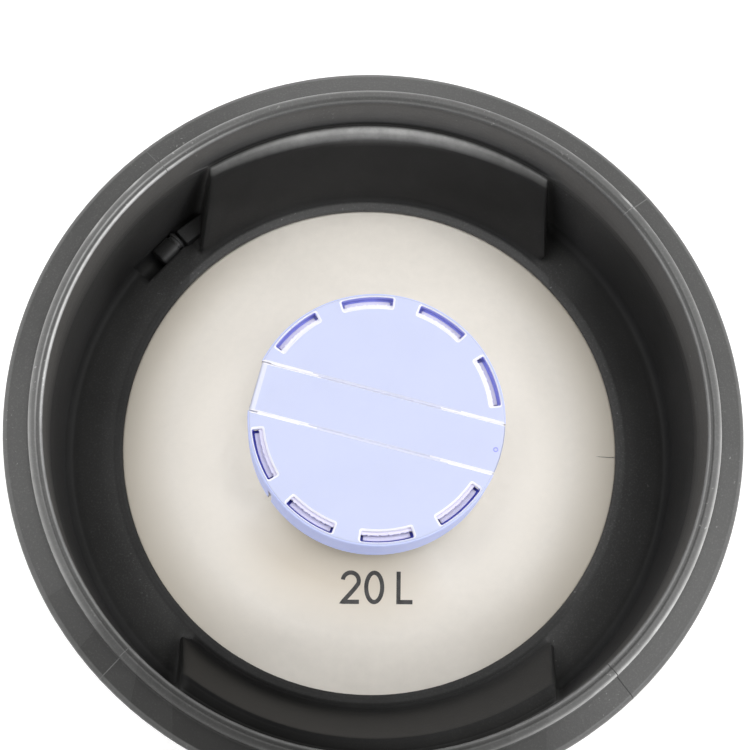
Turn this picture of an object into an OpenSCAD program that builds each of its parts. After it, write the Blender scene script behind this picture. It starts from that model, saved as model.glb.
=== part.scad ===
// Slim beer keg: a steel tank between two moulded rings, with a sprung
// well-type valve in its neck and a clip-on dust cap over the valve.
// Millimetres. +Z is up, and the origin is the centre of the foot.

/* [Overall] */
// Overall height, foot to stacking rim
keg_h = 605; // [585:1:660]
// Outer diameter of both rings
ring_d = 240; // [238:0.5:243]

/* [Tank] */
// Outer diameter of the steel tank
tank_d = 228; // [227:0.5:229]
// Sheet thickness of the tank
wall = 1.5; // [1.2:0.1:1.6]
// Crown radius of both heads
crown_r = 230; // [225:1:240]
// Knuckle radius of both heads
knuckle_r = 26; // [25:0.5:27]
// Height of a rolling bead above the tank wall
bead_h = 3.2; // [1:0.1:4]
// Height of the lower head's crown above the floor
foot_clear = 16; // [14:1:18]

/* [Grips] */
// Half width of a hand pocket
grip_half = 54; // [46:1:55]
// Height of the grip bar's underside below the rim
grip_top = 23.5; // [22.5:0.5:25]

/* [Tag] */
// Radius of the tag capsule
tag_r = 3.6; // [3.2:0.1:3.7]
// Length of the tag capsule
tag_l = 10.4; // [8:0.1:11]
// Where the tag's channel lies, about the keg's axis
tag_at = 137.9; // [137.5:0.1:138.3]

/* [Dust cap] */
// Outer radius of the cap
cap_r = 42.1; // [41.9:0.1:43]
// Height of the cap's skirt
cap_skirt = 18; // [15:1:22]
// Half width of the tear band
band_half = 8.6; // [7:0.1:9]
// Direction of the tear band about the keg's axis
band_turn = -14.4; // [-30:0.1:30]

/* [Valve] */
// Radius of the coupler well
well_r = 22.2; // [21.8:0.1:22.6]
// Travel of the gas valve
gas_travel = 8; // [5:0.5:9]
// Travel of the beer ball
ball_travel = 4; // [2:0.5:4]
// Outer radius of the down tube
tube_r = 7.5; // [7.2:0.1:7.5]

/* [Hidden] */
$fn = 96;

steel   = "#c9c4b8";
dull    = "#a9a7a2";
black   = "#2b2b2c";
blue    = "#c3cbf2";
rubber  = "#1d1d1f";

ring_r = ring_d / 2;
tank_r = tank_d / 2;
apex_u = keg_h - 36.4;          // crown of the upper head, outside
apex_l = foot_clear;            // crown of the lower head, outside
gap = 0.25;                     // ring to tank
weld_u = keg_h - 131;           // girth welds
weld_l = 128;
skirt_u = keg_h - 117;          // lower edge of the top ring
skirt_l = 114;                  // upper edge of the bottom ring
snap_u = skirt_u + 7;           // snap grooves that hold the rings
snap_l = skirt_l - 7;
neck_top = keg_h - 12;
tag_slot = 19.2;                // length of the channel that holds the tag

// ---- geometry helpers -------------------------------------------------
// points on an arc about c, from a0 to a1 degrees
function arc(c, r, a0, a1, n) =
    [for (i = [0:n]) let (a = a0 + (a1 - a0) * i / n) c + r * [cos(a), sin(a)]];
// outline of a head as (radius, height above the cylinder's end), pushed out by o,
// from the cylinder in to radius r_in
kn_x = tank_r - knuckle_r;
kn_a = asin(kn_x / (crown_r - knuckle_r));               // crown half angle
head_h = crown_r - (crown_r - knuckle_r) * cos(kn_a);    // knuckle centre to apex
function head_pts(r_in, o) = concat(
    arc([kn_x, -head_h], knuckle_r + o, 0, 90 - kn_a, 12),
    [for (i = [1:10]) let (a0 = kn_a, a1 = asin(r_in / (crown_r + o)), a = a0 + (a1 - a0) * i / 10)
        [(crown_r + o) * sin(a), (crown_r + o) * cos(a) - crown_r]]);
function up(pts, z) = [for (p = pts) [p[0], p[1] + z]];
function down(pts, z) = [for (p = pts) [p[0], z - p[1]]];
function rev(v) = [for (i = [len(v) - 1:-1:0]) v[i]];
knee_u = apex_u - head_h;       // top of the straight wall
knee_l = apex_l + head_h;
// a smooth bump of height h and half width w about z = 0
function bump(h, w, n) = [for (i = [0:n]) let (t = -1 + 2 * i / n) [h * (1 + cos(180 * t)) / 2, w * t]];
// snap groove outline on the outside of a straight wall
function groove(r, z, d, w) = [for (p = bump(-d, w, 8)) [r + p[0], z + p[1]]];

// a round-cornered rectangle
module rounded(x0, y0, x1, y1, r) {
    translate([x0, y0 + r]) square([x1 - x0, y1 - y0 - 2 * r]);
    translate([x0 + r, y0]) square([x1 - x0 - 2 * r, y1 - y0]);
    for (x = [x0 + r, x1 - r], y = [y0 + r, y1 - r]) translate([x, y]) circle(r);
}
// a sector of a ring, used to cut slots
module sector(r0, r1, half, z0, z1) {
    rotate([0, 0, -half]) rotate_extrude(angle = 2 * half)
        translate([r0, z0]) square([r1 - r0, z1 - z0]);
}
// a wire coil with closed ends, swept along its own centre line
module coil(r, wire, z0, z1, turns, steps, sides) {
    n = turns * steps;
    w = wire / 2;
    lo = z0 + w;
    hi = z1 - w;
    lead = (hi - lo - 2 * wire) / (turns - 2);
    function zc(t) = t < 1 ? lo + wire * t
                   : t > turns - 1 ? hi - wire * (turns - t)
                   : lo + wire + lead * (t - 1);
    pts = [for (i = [0:n]) let (t = i / steps, a = 360 * t)
           for (j = [0:sides - 1]) let (b = 360 * j / sides, q = r + w * cos(b))
               [q * cos(a), q * sin(a), zc(t) + w * sin(b)]];
    faces = concat(
        [[for (j = [0:sides - 1]) j]],
        [for (i = [0:n - 1], j = [0:sides - 1]) let (k = (j + 1) % sides)
            [i * sides + j, (i + 1) * sides + j, (i + 1) * sides + k, i * sides + k]],
        [[for (j = [sides - 1:-1:0]) n * sides + j]]);
    polyhedron(pts, faces, convexity = 10);
}

// ---- tank --------------------------------------------------------------
// rolled and welded cylinder with two rolling beads, and a raised weld at each end
module body_shell() {
    z_b = [weld_l + (weld_u - weld_l) * 0.2, weld_l + (weld_u - weld_l) * 0.8];
    side = concat(
        [[tank_r + 0.35, weld_l + 0.05], [tank_r + 0.35, weld_l + 2], [tank_r, weld_l + 3]],
        [for (p = bump(bead_h, 13, 14)) [tank_r + p[0], z_b[0] + p[1]]],
        [for (p = bump(bead_h, 13, 14)) [tank_r + p[0], z_b[1] + p[1]]],
        [[tank_r, weld_u - 3], [tank_r + 0.35, weld_u - 2], [tank_r + 0.35, weld_u - 0.05]]);
    inner = concat(
        [[tank_r - wall, weld_l + 0.05], [tank_r - wall, weld_l + 3]],
        [for (p = bump(bead_h, 13, 14)) [tank_r - wall + p[0], z_b[0] + p[1]]],
        [for (p = bump(bead_h, 13, 14)) [tank_r - wall + p[0], z_b[1] + p[1]]],
        [[tank_r - wall, weld_u - 3], [tank_r - wall, weld_u - 0.05]]);
    color(steel) rotate_extrude() polygon(concat(side, rev(inner)));
}

// deep-drawn head with the hole that takes the neck
module upper_head() {
    outer = concat([[tank_r, weld_u]], groove(tank_r, snap_u, 1.2, 5), up(head_pts(36.3, 0), apex_u));
    inner = concat([[tank_r - wall, weld_u]], groove(tank_r - wall, snap_u, 1.2, 5), up(head_pts(36.3, -wall), apex_u));
    color(steel) rotate_extrude() polygon(concat(outer, rev(inner)));
}

// deep-drawn closed head
module lower_head() {
    outer = concat([[tank_r, weld_l]], rev(groove(tank_r, snap_l, 1.2, 5)), down(head_pts(0, 0), apex_l));
    inner = concat([[tank_r - wall, weld_l]], rev(groove(tank_r - wall, snap_l, 1.2, 5)), down(head_pts(0, -wall), apex_l));
    color(steel) rotate_extrude() polygon(concat(outer, rev(inner)));
}

// turned boss, welded into the upper head
module neck() {
    z = neck_top;
    color(dull) rotate_extrude() polygon([
        [26.55, z - 32.5], [36.0, z - 32.5], [36.0, z - 28.2], [36.15, z - 27.1], [36.5, z - 27.1], [39.6, z - 27.6], [38.4, z - 25.4],
        [35.6, z - 22.6], [34.6, z - 20.6], [34.6, z - 8.4], [36.2, z - 6.6], [38, z - 6.2], [38, z - 0.8], [37.2, z],
        [31, z], [31, z - 0.7], [32.2, z - 0.7], [32.2, z - 2.1], [31, z - 2.1], [31, z - 5.5], [29.4, z - 5.7],
        [29.4, z - 30], [26.55, z - 30]]);
}

// ---- rings -------------------------------------------------------------
// section of the top ring between the grips
module top_section() {
    h = keg_h;
    polygon(concat(
        [[tank_r + gap, skirt_u]],
        [[ring_r - 3.4, skirt_u]],
        arc([ring_r - 3.4, skirt_u + 2], 2, -90, -25, 4),
        [[ring_r - 0.6, skirt_u + 6], [ring_r, skirt_u + 14]],
        [[ring_r, h - 9]],
        arc([ring_r - 3, h - 8.6], 3, 0, 70, 6),
        [[111.6, h - 3.2], [111.0, h - 2.9], [110.7, h - 2.3]],
        arc([109.5, h - 1.2], 1.2, 5, 90, 5),
        arc([107.7, h - 1.1], 1.1, 90, 175, 5),
        [[107.4, h - 19], [107.4, h - 31], [107.2, h - 53]],
        arc([104.2, h - 53], 3, 0, -111.8, 5),
        [[99, h - 54.2], [94, h - 52.4], [90, h - 51.5]],
        arc([88.0, h - 52.6], 1.15, 75, 200, 7),
        [for (p = rev(up(head_pts(87.3, gap), apex_u))) if (p[0] > 87.35) p],
        [[tank_r + gap, snap_u + 5]],
        rev(groove(tank_r + gap, snap_u, 1.1, 4.6))));
}
// inward bulge behind a hand pocket, as a section
module bulge_section() {
    h = keg_h;
    polygon(concat(
        [[108.5, h - 19.6]],
        arc([103.2, h - 22.0], 2.4, 90, 158, 5),
        [[91.2, h - 51.2], [93, h - 53.4], [110, h - 58], [115, h - 58], [115, h - 19.6]]));
}
// hollow of a hand pocket, as a section
module pocket_section() {
    h = keg_h;
    polygon(concat(
        [[ring_r + 4, h - grip_top + 1.5], [ring_r - 1, h - grip_top + 1.5], [ring_r - 4, h - grip_top]],
        arc([107.8, h - grip_top - 2.4], 2.4, 90, 158, 4),
        [[96.8, h - 49.4]],
        arc([99.6, h - 50.2], 2.8, 165, 250, 5),
        [[112, h - 60.5], [116, h - 64.5], [ring_r + 4, h - 69]]));
}
// moulded top ring: stacking rim, two hand pockets, a trough over the head
module top_ring() {
    h = keg_h;
    color(black) difference() {
        union() {
            rotate_extrude($fn = 160) top_section();
            for (s = [0, 180]) rotate([0, 0, s]) intersection() {
                rotate_extrude($fn = 160) bulge_section();
                translate([0, 130, 0]) rotate([90, 0, 0]) linear_extrude(80)
                    polygon([[-58.5, h - 19], [58.5, h - 19], [64.5, h - 56], [64.5, h - 60], [-64.5, h - 60], [-64.5, h - 56]]);
            }
            // block between a grip's side and the tag's channel
            rotate([0, 0, 129.3]) sector(98.4, 104.6, 3.9, h - 57.3, h - 50);
        }
        for (s = [0, 180]) rotate([0, 0, s]) intersection() {
            rotate_extrude($fn = 160) pocket_section();
            translate([0, 130, 0]) rotate([90, 0, 0]) linear_extrude(80)
                rounded(-grip_half, h - 66, grip_half, h - 20, 12);
        }
        // round-bottomed channel beside one grip, with the tag capsule at its end
        tag_place() linear_extrude(tag_slot, center = true)
            polygon(concat(arc([0, 0], tag_r + 0.15, 180, 360, 16), [[tag_r + 0.15, 9], [-tag_r - 0.15, 9]]));
    }
}

// moulded foot ring: recess that drops over the rim of the keg below, drain notches
module bottom_ring() {
    color(black) difference() {
        rotate_extrude($fn = 160) polygon(concat(
            [[112, 0.6], [112.6, 0], [117.6, 0]],
            arc([117.6, 2.4], 2.4, -90, 0, 6),
            [[ring_r, skirt_l - 14], [ring_r - 0.6, skirt_l - 6]],
            arc([ring_r - 3.4, skirt_l - 2], 2, 25, 90, 4),
            [[tank_r + gap, skirt_l]],
            rev(groove(tank_r + gap, snap_l, 1.1, 4.6)),
            [[tank_r + gap, knee_l + 0.01]],
            [for (p = down(head_pts(88, gap), apex_l)) if (p[0] < tank_r + gap - 0.001) p],
            arc([88.6, apex_l + head_h - 30.15], 1.5, 140, 270, 6),
            [[95, apex_l + 14], [102, apex_l + 15], [106.6, apex_l + 12], [108, apex_l + 6], [108, 6.6], [109, 5.6], [111.2, 5.6], [112, 5]]));
        for (a = [45:90:315]) rotate([0, 0, a]) translate([100, -9, -1]) cube([30, 18, 4.2]);
    }
}

// where the tag's channel lies, tangent to the trough
module tag_place() {
    rotate([0, 0, tag_at]) translate([102.9, 0, keg_h - 55.5]) rotate([90, 0, 0]) children();
}
// round transponder capsule, half sunk in the top ring's trough, at one end of its channel
module tag_capsule() {
    color(black) tag_place() translate([0, 0, (tag_slot - tag_l) / 2 - 0.3]) rotate_extrude() polygon(concat(
        [[0, -tag_l / 2]], arc([tag_r - 1, 1 - tag_l / 2], 1, -90, 0, 5),
        arc([tag_r - 0.6, tag_l / 2 - 0.6], 0.6, 0, 90, 4), [[0, tag_l / 2]]));
}

// ---- valve ---------------------------------------------------------------
// fitting body that screws into the neck: coupler well, valve seat and sleeve
module spear_body() {
    z = neck_top;
    color(dull) difference() {
        rotate_extrude() polygon([
            [well_r + 0.6, z - 2.2], [well_r, z - 2.8], [well_r, z - 16], [14.5, z - 16], [14.5, z - 19], [24.5, z - 19],
            [24.5, z - 45], [26.3, z - 45], [26.3, z - 27.6], [29.2, z - 27.6], [29.3, z - 27],
            [29.3, z - 5.5], [30.8, z - 5.3], [30.8, z - 2.2]]);
        // bayonet ways for the coupler's lugs
        for (a = [0, 180]) rotate([0, 0, a]) {
            sector(15, 25.4, 17, z - 9, z);
            rotate([0, 0, 27]) sector(15, 25.0, 41, z - 13, z - 8.8);
        }
        // wrench notches
        for (a = [45:90:315]) rotate([0, 0, a]) translate([26.2, -2.2, z - 4.2]) cube([8, 4.4, 4]);
        // windows for the basket's lugs
        for (a = [30:120:270]) rotate([0, 0, a]) sector(23, 28, 12, z - 42.5, z - 38.5);
    }
}

// flat seal between the fitting body and the neck's ledge
module body_gasket() {
    z = neck_top;
    color(rubber) rotate_extrude() translate([26.7, z - 29.95]) square([2.45, 2.3]);
}

// split ring that stops the fitting body from backing out
module lock_ring() {
    z = neck_top;
    color(dull) difference() {
        rotate([0, 0, 110]) rotate_extrude(angle = 322) translate([28.4, z - 2.05]) square([3.65, 1.25]);
        for (a = [114.5, 67.5]) rotate([0, 0, a]) translate([30.2, 0, z - 3]) cylinder(r = 0.9, h = 4, $fn = 24);
    }
}

// spring tongue that catches under the neck if the body is unscrewed
module safety_latch() {
    z = neck_top;
    color(steel) for (a = [90, 270]) rotate([0, 0, a - 14]) rotate_extrude(angle = 28)
        polygon([[26.45, z - 44], [27.05, z - 44], [27.05, z - 40.5], [30.4, z - 35.6], [30.4, z - 34], [29.8, z - 34],
                 [29.8, z - 35.4], [26.45, z - 40.3]]);
}

// cage that holds the main spring and guides the down tube
module spring_basket() {
    z = neck_top;
    color(dull) difference() {
        union() {
            rotate_extrude() polygon([[tube_r + 0.4, z - 74], [22.8, z - 74], [24.3, z - 72.5], [24.3, z - 37.5], [22.5, z - 37.5],
                                      [22.5, z - 71], [tube_r + 0.4, z - 71]]);
            for (a = [30:120:270]) rotate([0, 0, a]) sector(23.5, 26.15, 10, z - 42, z - 39);
        }
        for (a = [45:90:315]) rotate([0, 0, a]) sector(20, 28, 26, z - 66, z - 47);
        for (a = [0:60:300]) rotate([0, 0, a]) translate([16, 0, z - 76]) cylinder(r = 2.6, h = 6, $fn = 32);
    }
}

// compression spring that lifts the gas valve to its seat
module main_spring() {
    z = neck_top;
    color(steel) coil(15.6, 2.4, z - 70.95, z - 26.6, 7, 22, 8);
}

// annular seal: its rim closes the gas way, its bore is the ball's seat
module gas_seal() {
    z = neck_top;
    color(rubber) rotate_extrude() polygon([[7.3, z - 24], [18.6, z - 24], [19.2, z - 23.4], [19.2, z - 19.6], [18.7, z - 19.1],
        [14.0, z - 19.1], [13.6, z - 17.2], [12.8, z - 16.8], [8.6, z - 16.8], [6.9, z - 18], [6.0, z - 20], [6.0, z - 22.4]]);
}

// flared carrier under the seal, with the cup that houses the ball
module tube_head() {
    z = neck_top;
    color(dull) rotate_extrude() polygon([[10.6, z - 24.05], [18.2, z - 24.05], [18.2, z - 26.5], [12.4, z - 26.5], [12.2, z - 28],
        [12.2, z - 43], [9.5, z - 46], [9.5, z - 52], [tube_r + 0.05, z - 52], [tube_r + 0.05, z - 44.05], [10.6, z - 44.05]]);
}

// draw tube, down to just above the lower head
module down_tube() {
    z = neck_top;
    color(steel) difference() {
        rotate_extrude() translate([tube_r - 0.8, foot_clear + 13]) square([0.8, z - 44.1 - foot_clear - 13]);
        for (a = [0, 90]) rotate([0, 0, a]) translate([-20, -2, foot_clear + 12]) cube([40, 4, 5]);
    }
}

// pierced disc at the bottom of the cup, seat of the ball's spring
module ball_cage() {
    z = neck_top;
    color(dull) difference() {
        translate([0, 0, z - 44]) cylinder(r = 10.5, h = 1.6);
        for (a = [0:60:300]) rotate([0, 0, a]) translate([7.3, 0, z - 45]) cylinder(r = 1.9, h = 4, $fn = 32);
        translate([0, 0, z - 45]) cylinder(r = 2.6, h = 4, $fn = 32);
    }
}

// ball that closes the beer way
module beer_ball() {
    color(steel) translate([0, 0, neck_top - 27.4]) sphere(r = 7.5);
}

// light spring under the ball
module ball_spring() {
    z = neck_top;
    color(steel) coil(4.2, 0.9, z - 42.35, z - 33.85, 5, 18, 8);
}

// ---- dust cap --------------------------------------------------------------
// clip-on cap in two lobes either side of the tear band, with slots over its hooks
module dust_cap() {
    z = keg_h - 9.7;
    color(blue) rotate([0, 0, band_turn]) difference() {
        union() {
            rotate_extrude() polygon(concat(
                [[0, z - 2.1], [cap_r - 1.7, z - 2.1], [cap_r - 1.7, z - cap_skirt - 2], [cap_r + 0.3, z - cap_skirt - 2], [cap_r + 0.3, z - cap_skirt + 0.4]],
                [[cap_r, z - cap_skirt + 1.4]],
                arc([cap_r - 0.9, z - 0.9], 0.9, 0, 90, 5),
                [[0, z]]));
            // hook tongues standing under the slots, each on two ribs from the skirt
            for (a = [33:38:147], s = [-1, 1]) rotate([0, 0, s * a]) {
                sector(38.35, 39.7, 11.2, z - 11.6, z - 3.2);
                for (e = [-1, 1]) rotate([0, 0, e * 9.1]) sector(39.2, cap_r - 1.2, 0.7, z - 11.2, z - 8.8);
            }
        }
        // slots in the top
        for (a = [33:38:147], s = [-1, 1]) rotate([0, 0, s * a]) sector(37.35, cap_r - 1.35, 12.4, z - 4, z + 1);
        // way of the tear band, and of its tab down one side
        translate([-cap_r - 5, -band_half, z - 2.6]) cube([2 * cap_r + 10, 2 * band_half, 4]);
        translate([-cap_r - 5, -band_half, z - 14]) cube([cap_r + 5 - 38.2, 2 * band_half, 15]);
        // slits that let the skirt spring
        for (a = [131, -131]) rotate([0, 0, a]) translate([cap_r - 3, -0.9, z - cap_skirt - 3]) cube([6, 1.8, 14]);
    }
}

// band that tears out across the cap, with its pull tab turned down over the edge
module tear_band() {
    z = keg_h - 9.7;
    b = band_half - 0.3;
    color(blue) rotate([0, 0, band_turn]) {
        difference() {
            intersection() {
                translate([-cap_r + 1.1, -b, z - 1.95]) cube([2 * cap_r, 2 * b, 1.8]);
                translate([0, 0, z - 5]) cylinder(r = cap_r - 0.1, h = 10);
            }
            translate([cap_r - 2.2, 1.1, z - 0.45]) difference() { cylinder(r = 0.75, h = 2, $fn = 24); cylinder(r = 0.4, h = 2, $fn = 24); }
        }
        translate([-cap_r + 1.1, -b, z - 13]) cube([1.7, 2 * b, 12]);
        translate([-cap_r + 0.2, -b, z - 13]) cube([2.2, 2 * b, 1.6]);
    }
}

body_shell();
upper_head();
lower_head();
neck();
top_ring();
bottom_ring();
tag_capsule();
spear_body();
body_gasket();
lock_ring();
safety_latch();
spring_basket();
main_spring();
gas_seal();
tube_head();
down_tube();
ball_cage();
beer_ball();
ball_spring();
dust_cap();
tear_band();
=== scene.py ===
"""Slim beer keg: finished surfaces for the visible pieces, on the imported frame."""
import math

import bpy
import numpy as np
from mathutils import Matrix, Vector


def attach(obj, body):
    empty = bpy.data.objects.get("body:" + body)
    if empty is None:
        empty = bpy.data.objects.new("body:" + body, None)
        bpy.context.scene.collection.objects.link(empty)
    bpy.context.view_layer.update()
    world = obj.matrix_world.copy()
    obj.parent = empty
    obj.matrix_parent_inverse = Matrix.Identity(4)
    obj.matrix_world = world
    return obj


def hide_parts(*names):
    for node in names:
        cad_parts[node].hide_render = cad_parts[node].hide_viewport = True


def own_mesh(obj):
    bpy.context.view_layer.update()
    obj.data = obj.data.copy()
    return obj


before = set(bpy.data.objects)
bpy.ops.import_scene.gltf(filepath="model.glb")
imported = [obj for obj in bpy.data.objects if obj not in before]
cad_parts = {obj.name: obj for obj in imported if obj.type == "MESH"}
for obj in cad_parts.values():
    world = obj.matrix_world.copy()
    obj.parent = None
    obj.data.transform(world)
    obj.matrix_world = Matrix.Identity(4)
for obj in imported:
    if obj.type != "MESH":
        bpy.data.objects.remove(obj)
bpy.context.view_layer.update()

scene = bpy.context.scene
MM = 0.001
H = 605.0                      # overall height, mm
RAD = math.radians


# ---------------------------------------------------------------- meshes
def make(name, verts, faces, mats, body, angle=32.0, index=None, attrs=None):
    """A smooth-shaded mesh object from millimetre vertices, riding on a body."""
    me = bpy.data.meshes.new(name)
    me.from_pydata((np.asarray(verts, float) * MM).tolist(), [], [tuple(int(i) for i in f) for f in faces])
    for m in mats:
        me.materials.append(m)
    if index is not None:
        me.polygons.foreach_set("material_index", np.asarray(index, np.int32))
    for key, values in (attrs or {}).items():
        a = me.attributes.new(key, "FLOAT", "POINT")
        a.data.foreach_set("value", np.asarray(values, np.float32))
    me.shade_smooth()
    me.set_sharp_from_angle(angle=RAD(angle))
    o = bpy.data.objects.new(name, me)
    scene.collection.objects.link(o)
    if body:
        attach(o, body)
    return o


def grid_faces(cols, rows, close_cols=True, close_rows=True):
    """Quads over a columns by rows grid, index = column * rows + row."""
    out = []
    for i in range(cols if close_cols else cols - 1):
        k = (i + 1) % cols
        for j in range(rows if close_rows else rows - 1):
            l = (j + 1) % rows
            out.append((i * rows + j, k * rows + j, k * rows + l, i * rows + l))
    return out


def arc(cx, cz, r, a0, a1, n):
    t = np.radians(np.linspace(a0, a1, n))
    return [(cx + r * math.cos(a), cz + r * math.sin(a)) for a in t]


def resample(pts, n):
    """n points evenly along an open polyline, its ends kept."""
    p = np.asarray(pts, float)
    d = np.concatenate([[0], np.cumsum(np.hypot(*np.diff(p, axis=0).T))])
    s = np.linspace(0, d[-1], n)
    return np.column_stack([np.interp(s, d, p[:, 0]), np.interp(s, d, p[:, 1])])


def revolve(profile, n=192):
    """Vertices and faces of a closed (radius, height) profile, counter-clockwise, turned about Z."""
    p = np.asarray(profile, float)
    t = np.linspace(0, 2 * np.pi, n, endpoint=False)
    v = np.stack([np.outer(np.cos(t), p[:, 0]), np.outer(np.sin(t), p[:, 0]), np.tile(p[:, 1], (n, 1))], -1)
    return v.reshape(-1, 3), grid_faces(n, len(p))


def subtract(obj, cutter):
    """Cuts one mesh out of another, and removes the cutter."""
    m = obj.modifiers.new("cut", "BOOLEAN")
    m.operation = "DIFFERENCE"
    m.solver = "EXACT"
    m.object = cutter
    dg = bpy.context.evaluated_depsgraph_get()
    done = bpy.data.meshes.new_from_object(obj.evaluated_get(dg), preserve_all_data_layers=True, depsgraph=dg)
    obj.modifiers.clear()
    old = obj.data
    obj.data = done
    bpy.data.meshes.remove(old)
    gone = cutter.data
    bpy.data.objects.remove(cutter)
    bpy.data.meshes.remove(gone)
    return obj


def prism(rings):
    """A closed solid through loops of equal length, with both ends filled."""
    m = len(rings[0])
    v = np.concatenate([np.asarray(r, float) for r in rings])
    f = []
    for i in range(len(rings) - 1):
        for j in range(m):
            k = (j + 1) % m
            f.append((i * m + j, i * m + k, (i + 1) * m + k, (i + 1) * m + j))
    f.append(tuple(range(m - 1, -1, -1)))
    f.append(tuple((len(rings) - 1) * m + j for j in range(m)))
    return v, f


def joined(parts):
    """Several (vertices, faces) as one, without welding."""
    vs, fs, base = [], [], 0
    for v, f in parts:
        vs.append(np.asarray(v, float))
        fs += [tuple(base + i for i in q) for q in f]
        base += len(v)
    return np.concatenate(vs), fs


def sector_loop(r0, r1, a0, a1, z, corner, n=14):
    """Outline of a ring sector with rounded corners, counter-clockwise seen from above."""
    rm = (r0 + r1) / 2
    half = (r1 - r0) / 2
    c = min(corner, half * 0.98)
    pts = []

    def put(r, a):
        pts.append((r * math.cos(a), r * math.sin(a), z))
    da0 = c / r0
    da1 = c / r1
    for a in np.linspace(a0 + da1, a1 - da1, n):
        put(r1, a)
    for b in np.radians([22.5, 45, 67.5]):
        put(r1 - c * (1 - math.cos(b)), a1 - (c - c * math.sin(b)) / r1)
    put(r1 - c, a1)
    put(r0 + c, a1)
    for b in np.radians([67.5, 45, 22.5]):
        put(r0 + c * (1 - math.cos(b)), a1 - (c - c * math.sin(b)) / r0)
    for a in np.linspace(a1 - da0, a0 + da0, n):
        put(r0, a)
    for b in np.radians([22.5, 45, 67.5]):
        put(r0 + c * (1 - math.cos(b)), a0 + (c - c * math.sin(b)) / r0)
    put(r0 + c, a0)
    put(r1 - c, a0)
    for b in np.radians([67.5, 45, 22.5]):
        put(r1 - c * (1 - math.cos(b)), a0 + (c - c * math.sin(b)) / r1)
    return pts


# ------------------------------------------------------------- materials
class Nodes:
    """Short calls for building a node tree."""

    def __init__(self, name):
        self.m = bpy.data.materials.new(name)
        self.m.use_nodes = True
        self.t = self.m.node_tree
        self.t.nodes.clear()
        self.out = self.t.nodes.new("ShaderNodeOutputMaterial")
        self.b = self.t.nodes.new("ShaderNodeBsdfPrincipled")
        self.t.links.new(self.b.outputs[0], self.out.inputs["Surface"])
        self.co = self.t.nodes.new("ShaderNodeTexCoord").outputs["Object"]

    def link(self, a, b):
        self.t.links.new(a, b)

    def set(self, **values):
        for k, v in values.items():
            self.b.inputs[k.replace("_", " ")].default_value = v

    def noise(self, scale, detail=2.0, rough=0.5, co=None, stretch=None):
        n = self.t.nodes.new("ShaderNodeTexNoise")
        n.inputs["Scale"].default_value = scale
        n.inputs["Detail"].default_value = detail
        n.inputs["Roughness"].default_value = rough
        src = co or self.co
        if stretch:
            mp = self.t.nodes.new("ShaderNodeMapping")
            mp.inputs["Scale"].default_value = stretch
            self.link(src, mp.inputs["Vector"])
            src = mp.outputs["Vector"]
        self.link(src, n.inputs["Vector"])
        return n.outputs["Fac"]

    def ramp(self, fac, stops):
        r = self.t.nodes.new("ShaderNodeValToRGB")
        e = r.color_ramp.elements
        while len(e) < len(stops):
            e.new(0.5)
        for k, (pos, col) in enumerate(stops):
            e[k].position = pos
            e[k].color = (*col, 1.0) if not isinstance(col, float) else (col, col, col, 1.0)
        self.link(fac, r.inputs["Fac"])
        return r.outputs["Color"]

    def math(self, op, a, b):
        n = self.t.nodes.new("ShaderNodeMath")
        n.operation = op
        for k, v in enumerate((a, b)):
            if isinstance(v, (int, float)):
                n.inputs[k].default_value = v
            else:
                self.link(v, n.inputs[k])
        return n.outputs[0]

    def mix(self, fac, a, b):
        n = self.t.nodes.new("ShaderNodeMix")
        n.data_type = "RGBA"
        for k, v in ((0, fac), (6, a), (7, b)):
            if isinstance(v, tuple):
                n.inputs[k].default_value = (*v, 1.0)
            elif isinstance(v, (int, float)):
                n.inputs[k].default_value = v
            else:
                self.link(v, n.inputs[k])
        return n.outputs[2]

    def attr(self, name):
        n = self.t.nodes.new("ShaderNodeAttribute")
        n.attribute_name = name
        return n.outputs["Fac"]

    def range(self, fac, lo, hi, to_lo, to_hi):
        n = self.t.nodes.new("ShaderNodeMapRange")
        n.clamp = True
        for k, v in zip(("From Min", "From Max", "To Min", "To Max"), (lo, hi, to_lo, to_hi)):
            n.inputs[k].default_value = v
        self.link(fac, n.inputs["Value"])
        return n.outputs["Result"]

    def bump(self, height, strength, distance):
        n = self.t.nodes.new("ShaderNodeBump")
        n.inputs["Strength"].default_value = strength
        n.inputs["Distance"].default_value = distance
        self.link(height, n.inputs["Height"])
        self.link(n.outputs["Normal"], self.b.inputs["Normal"])

    def around(self):
        """Cylinder coordinates about Z: angle times radius, height, radius."""
        s = self.t.nodes.new("ShaderNodeSeparateXYZ")
        self.link(self.co, s.inputs[0])
        a = self.math("ARCTAN2", s.outputs["Y"], s.outputs["X"])
        c = self.t.nodes.new("ShaderNodeCombineXYZ")
        r = self.math("SQRT", self.math("ADD", self.math("MULTIPLY", s.outputs["X"], s.outputs["X"]),
                                        self.math("MULTIPLY", s.outputs["Y"], s.outputs["Y"])), 0.0)
        self.link(self.math("MULTIPLY", a, 0.114), c.inputs["X"])
        self.link(s.outputs["Z"], c.inputs["Y"])
        self.link(r, c.inputs["Z"])
        return c.outputs[0]


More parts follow.
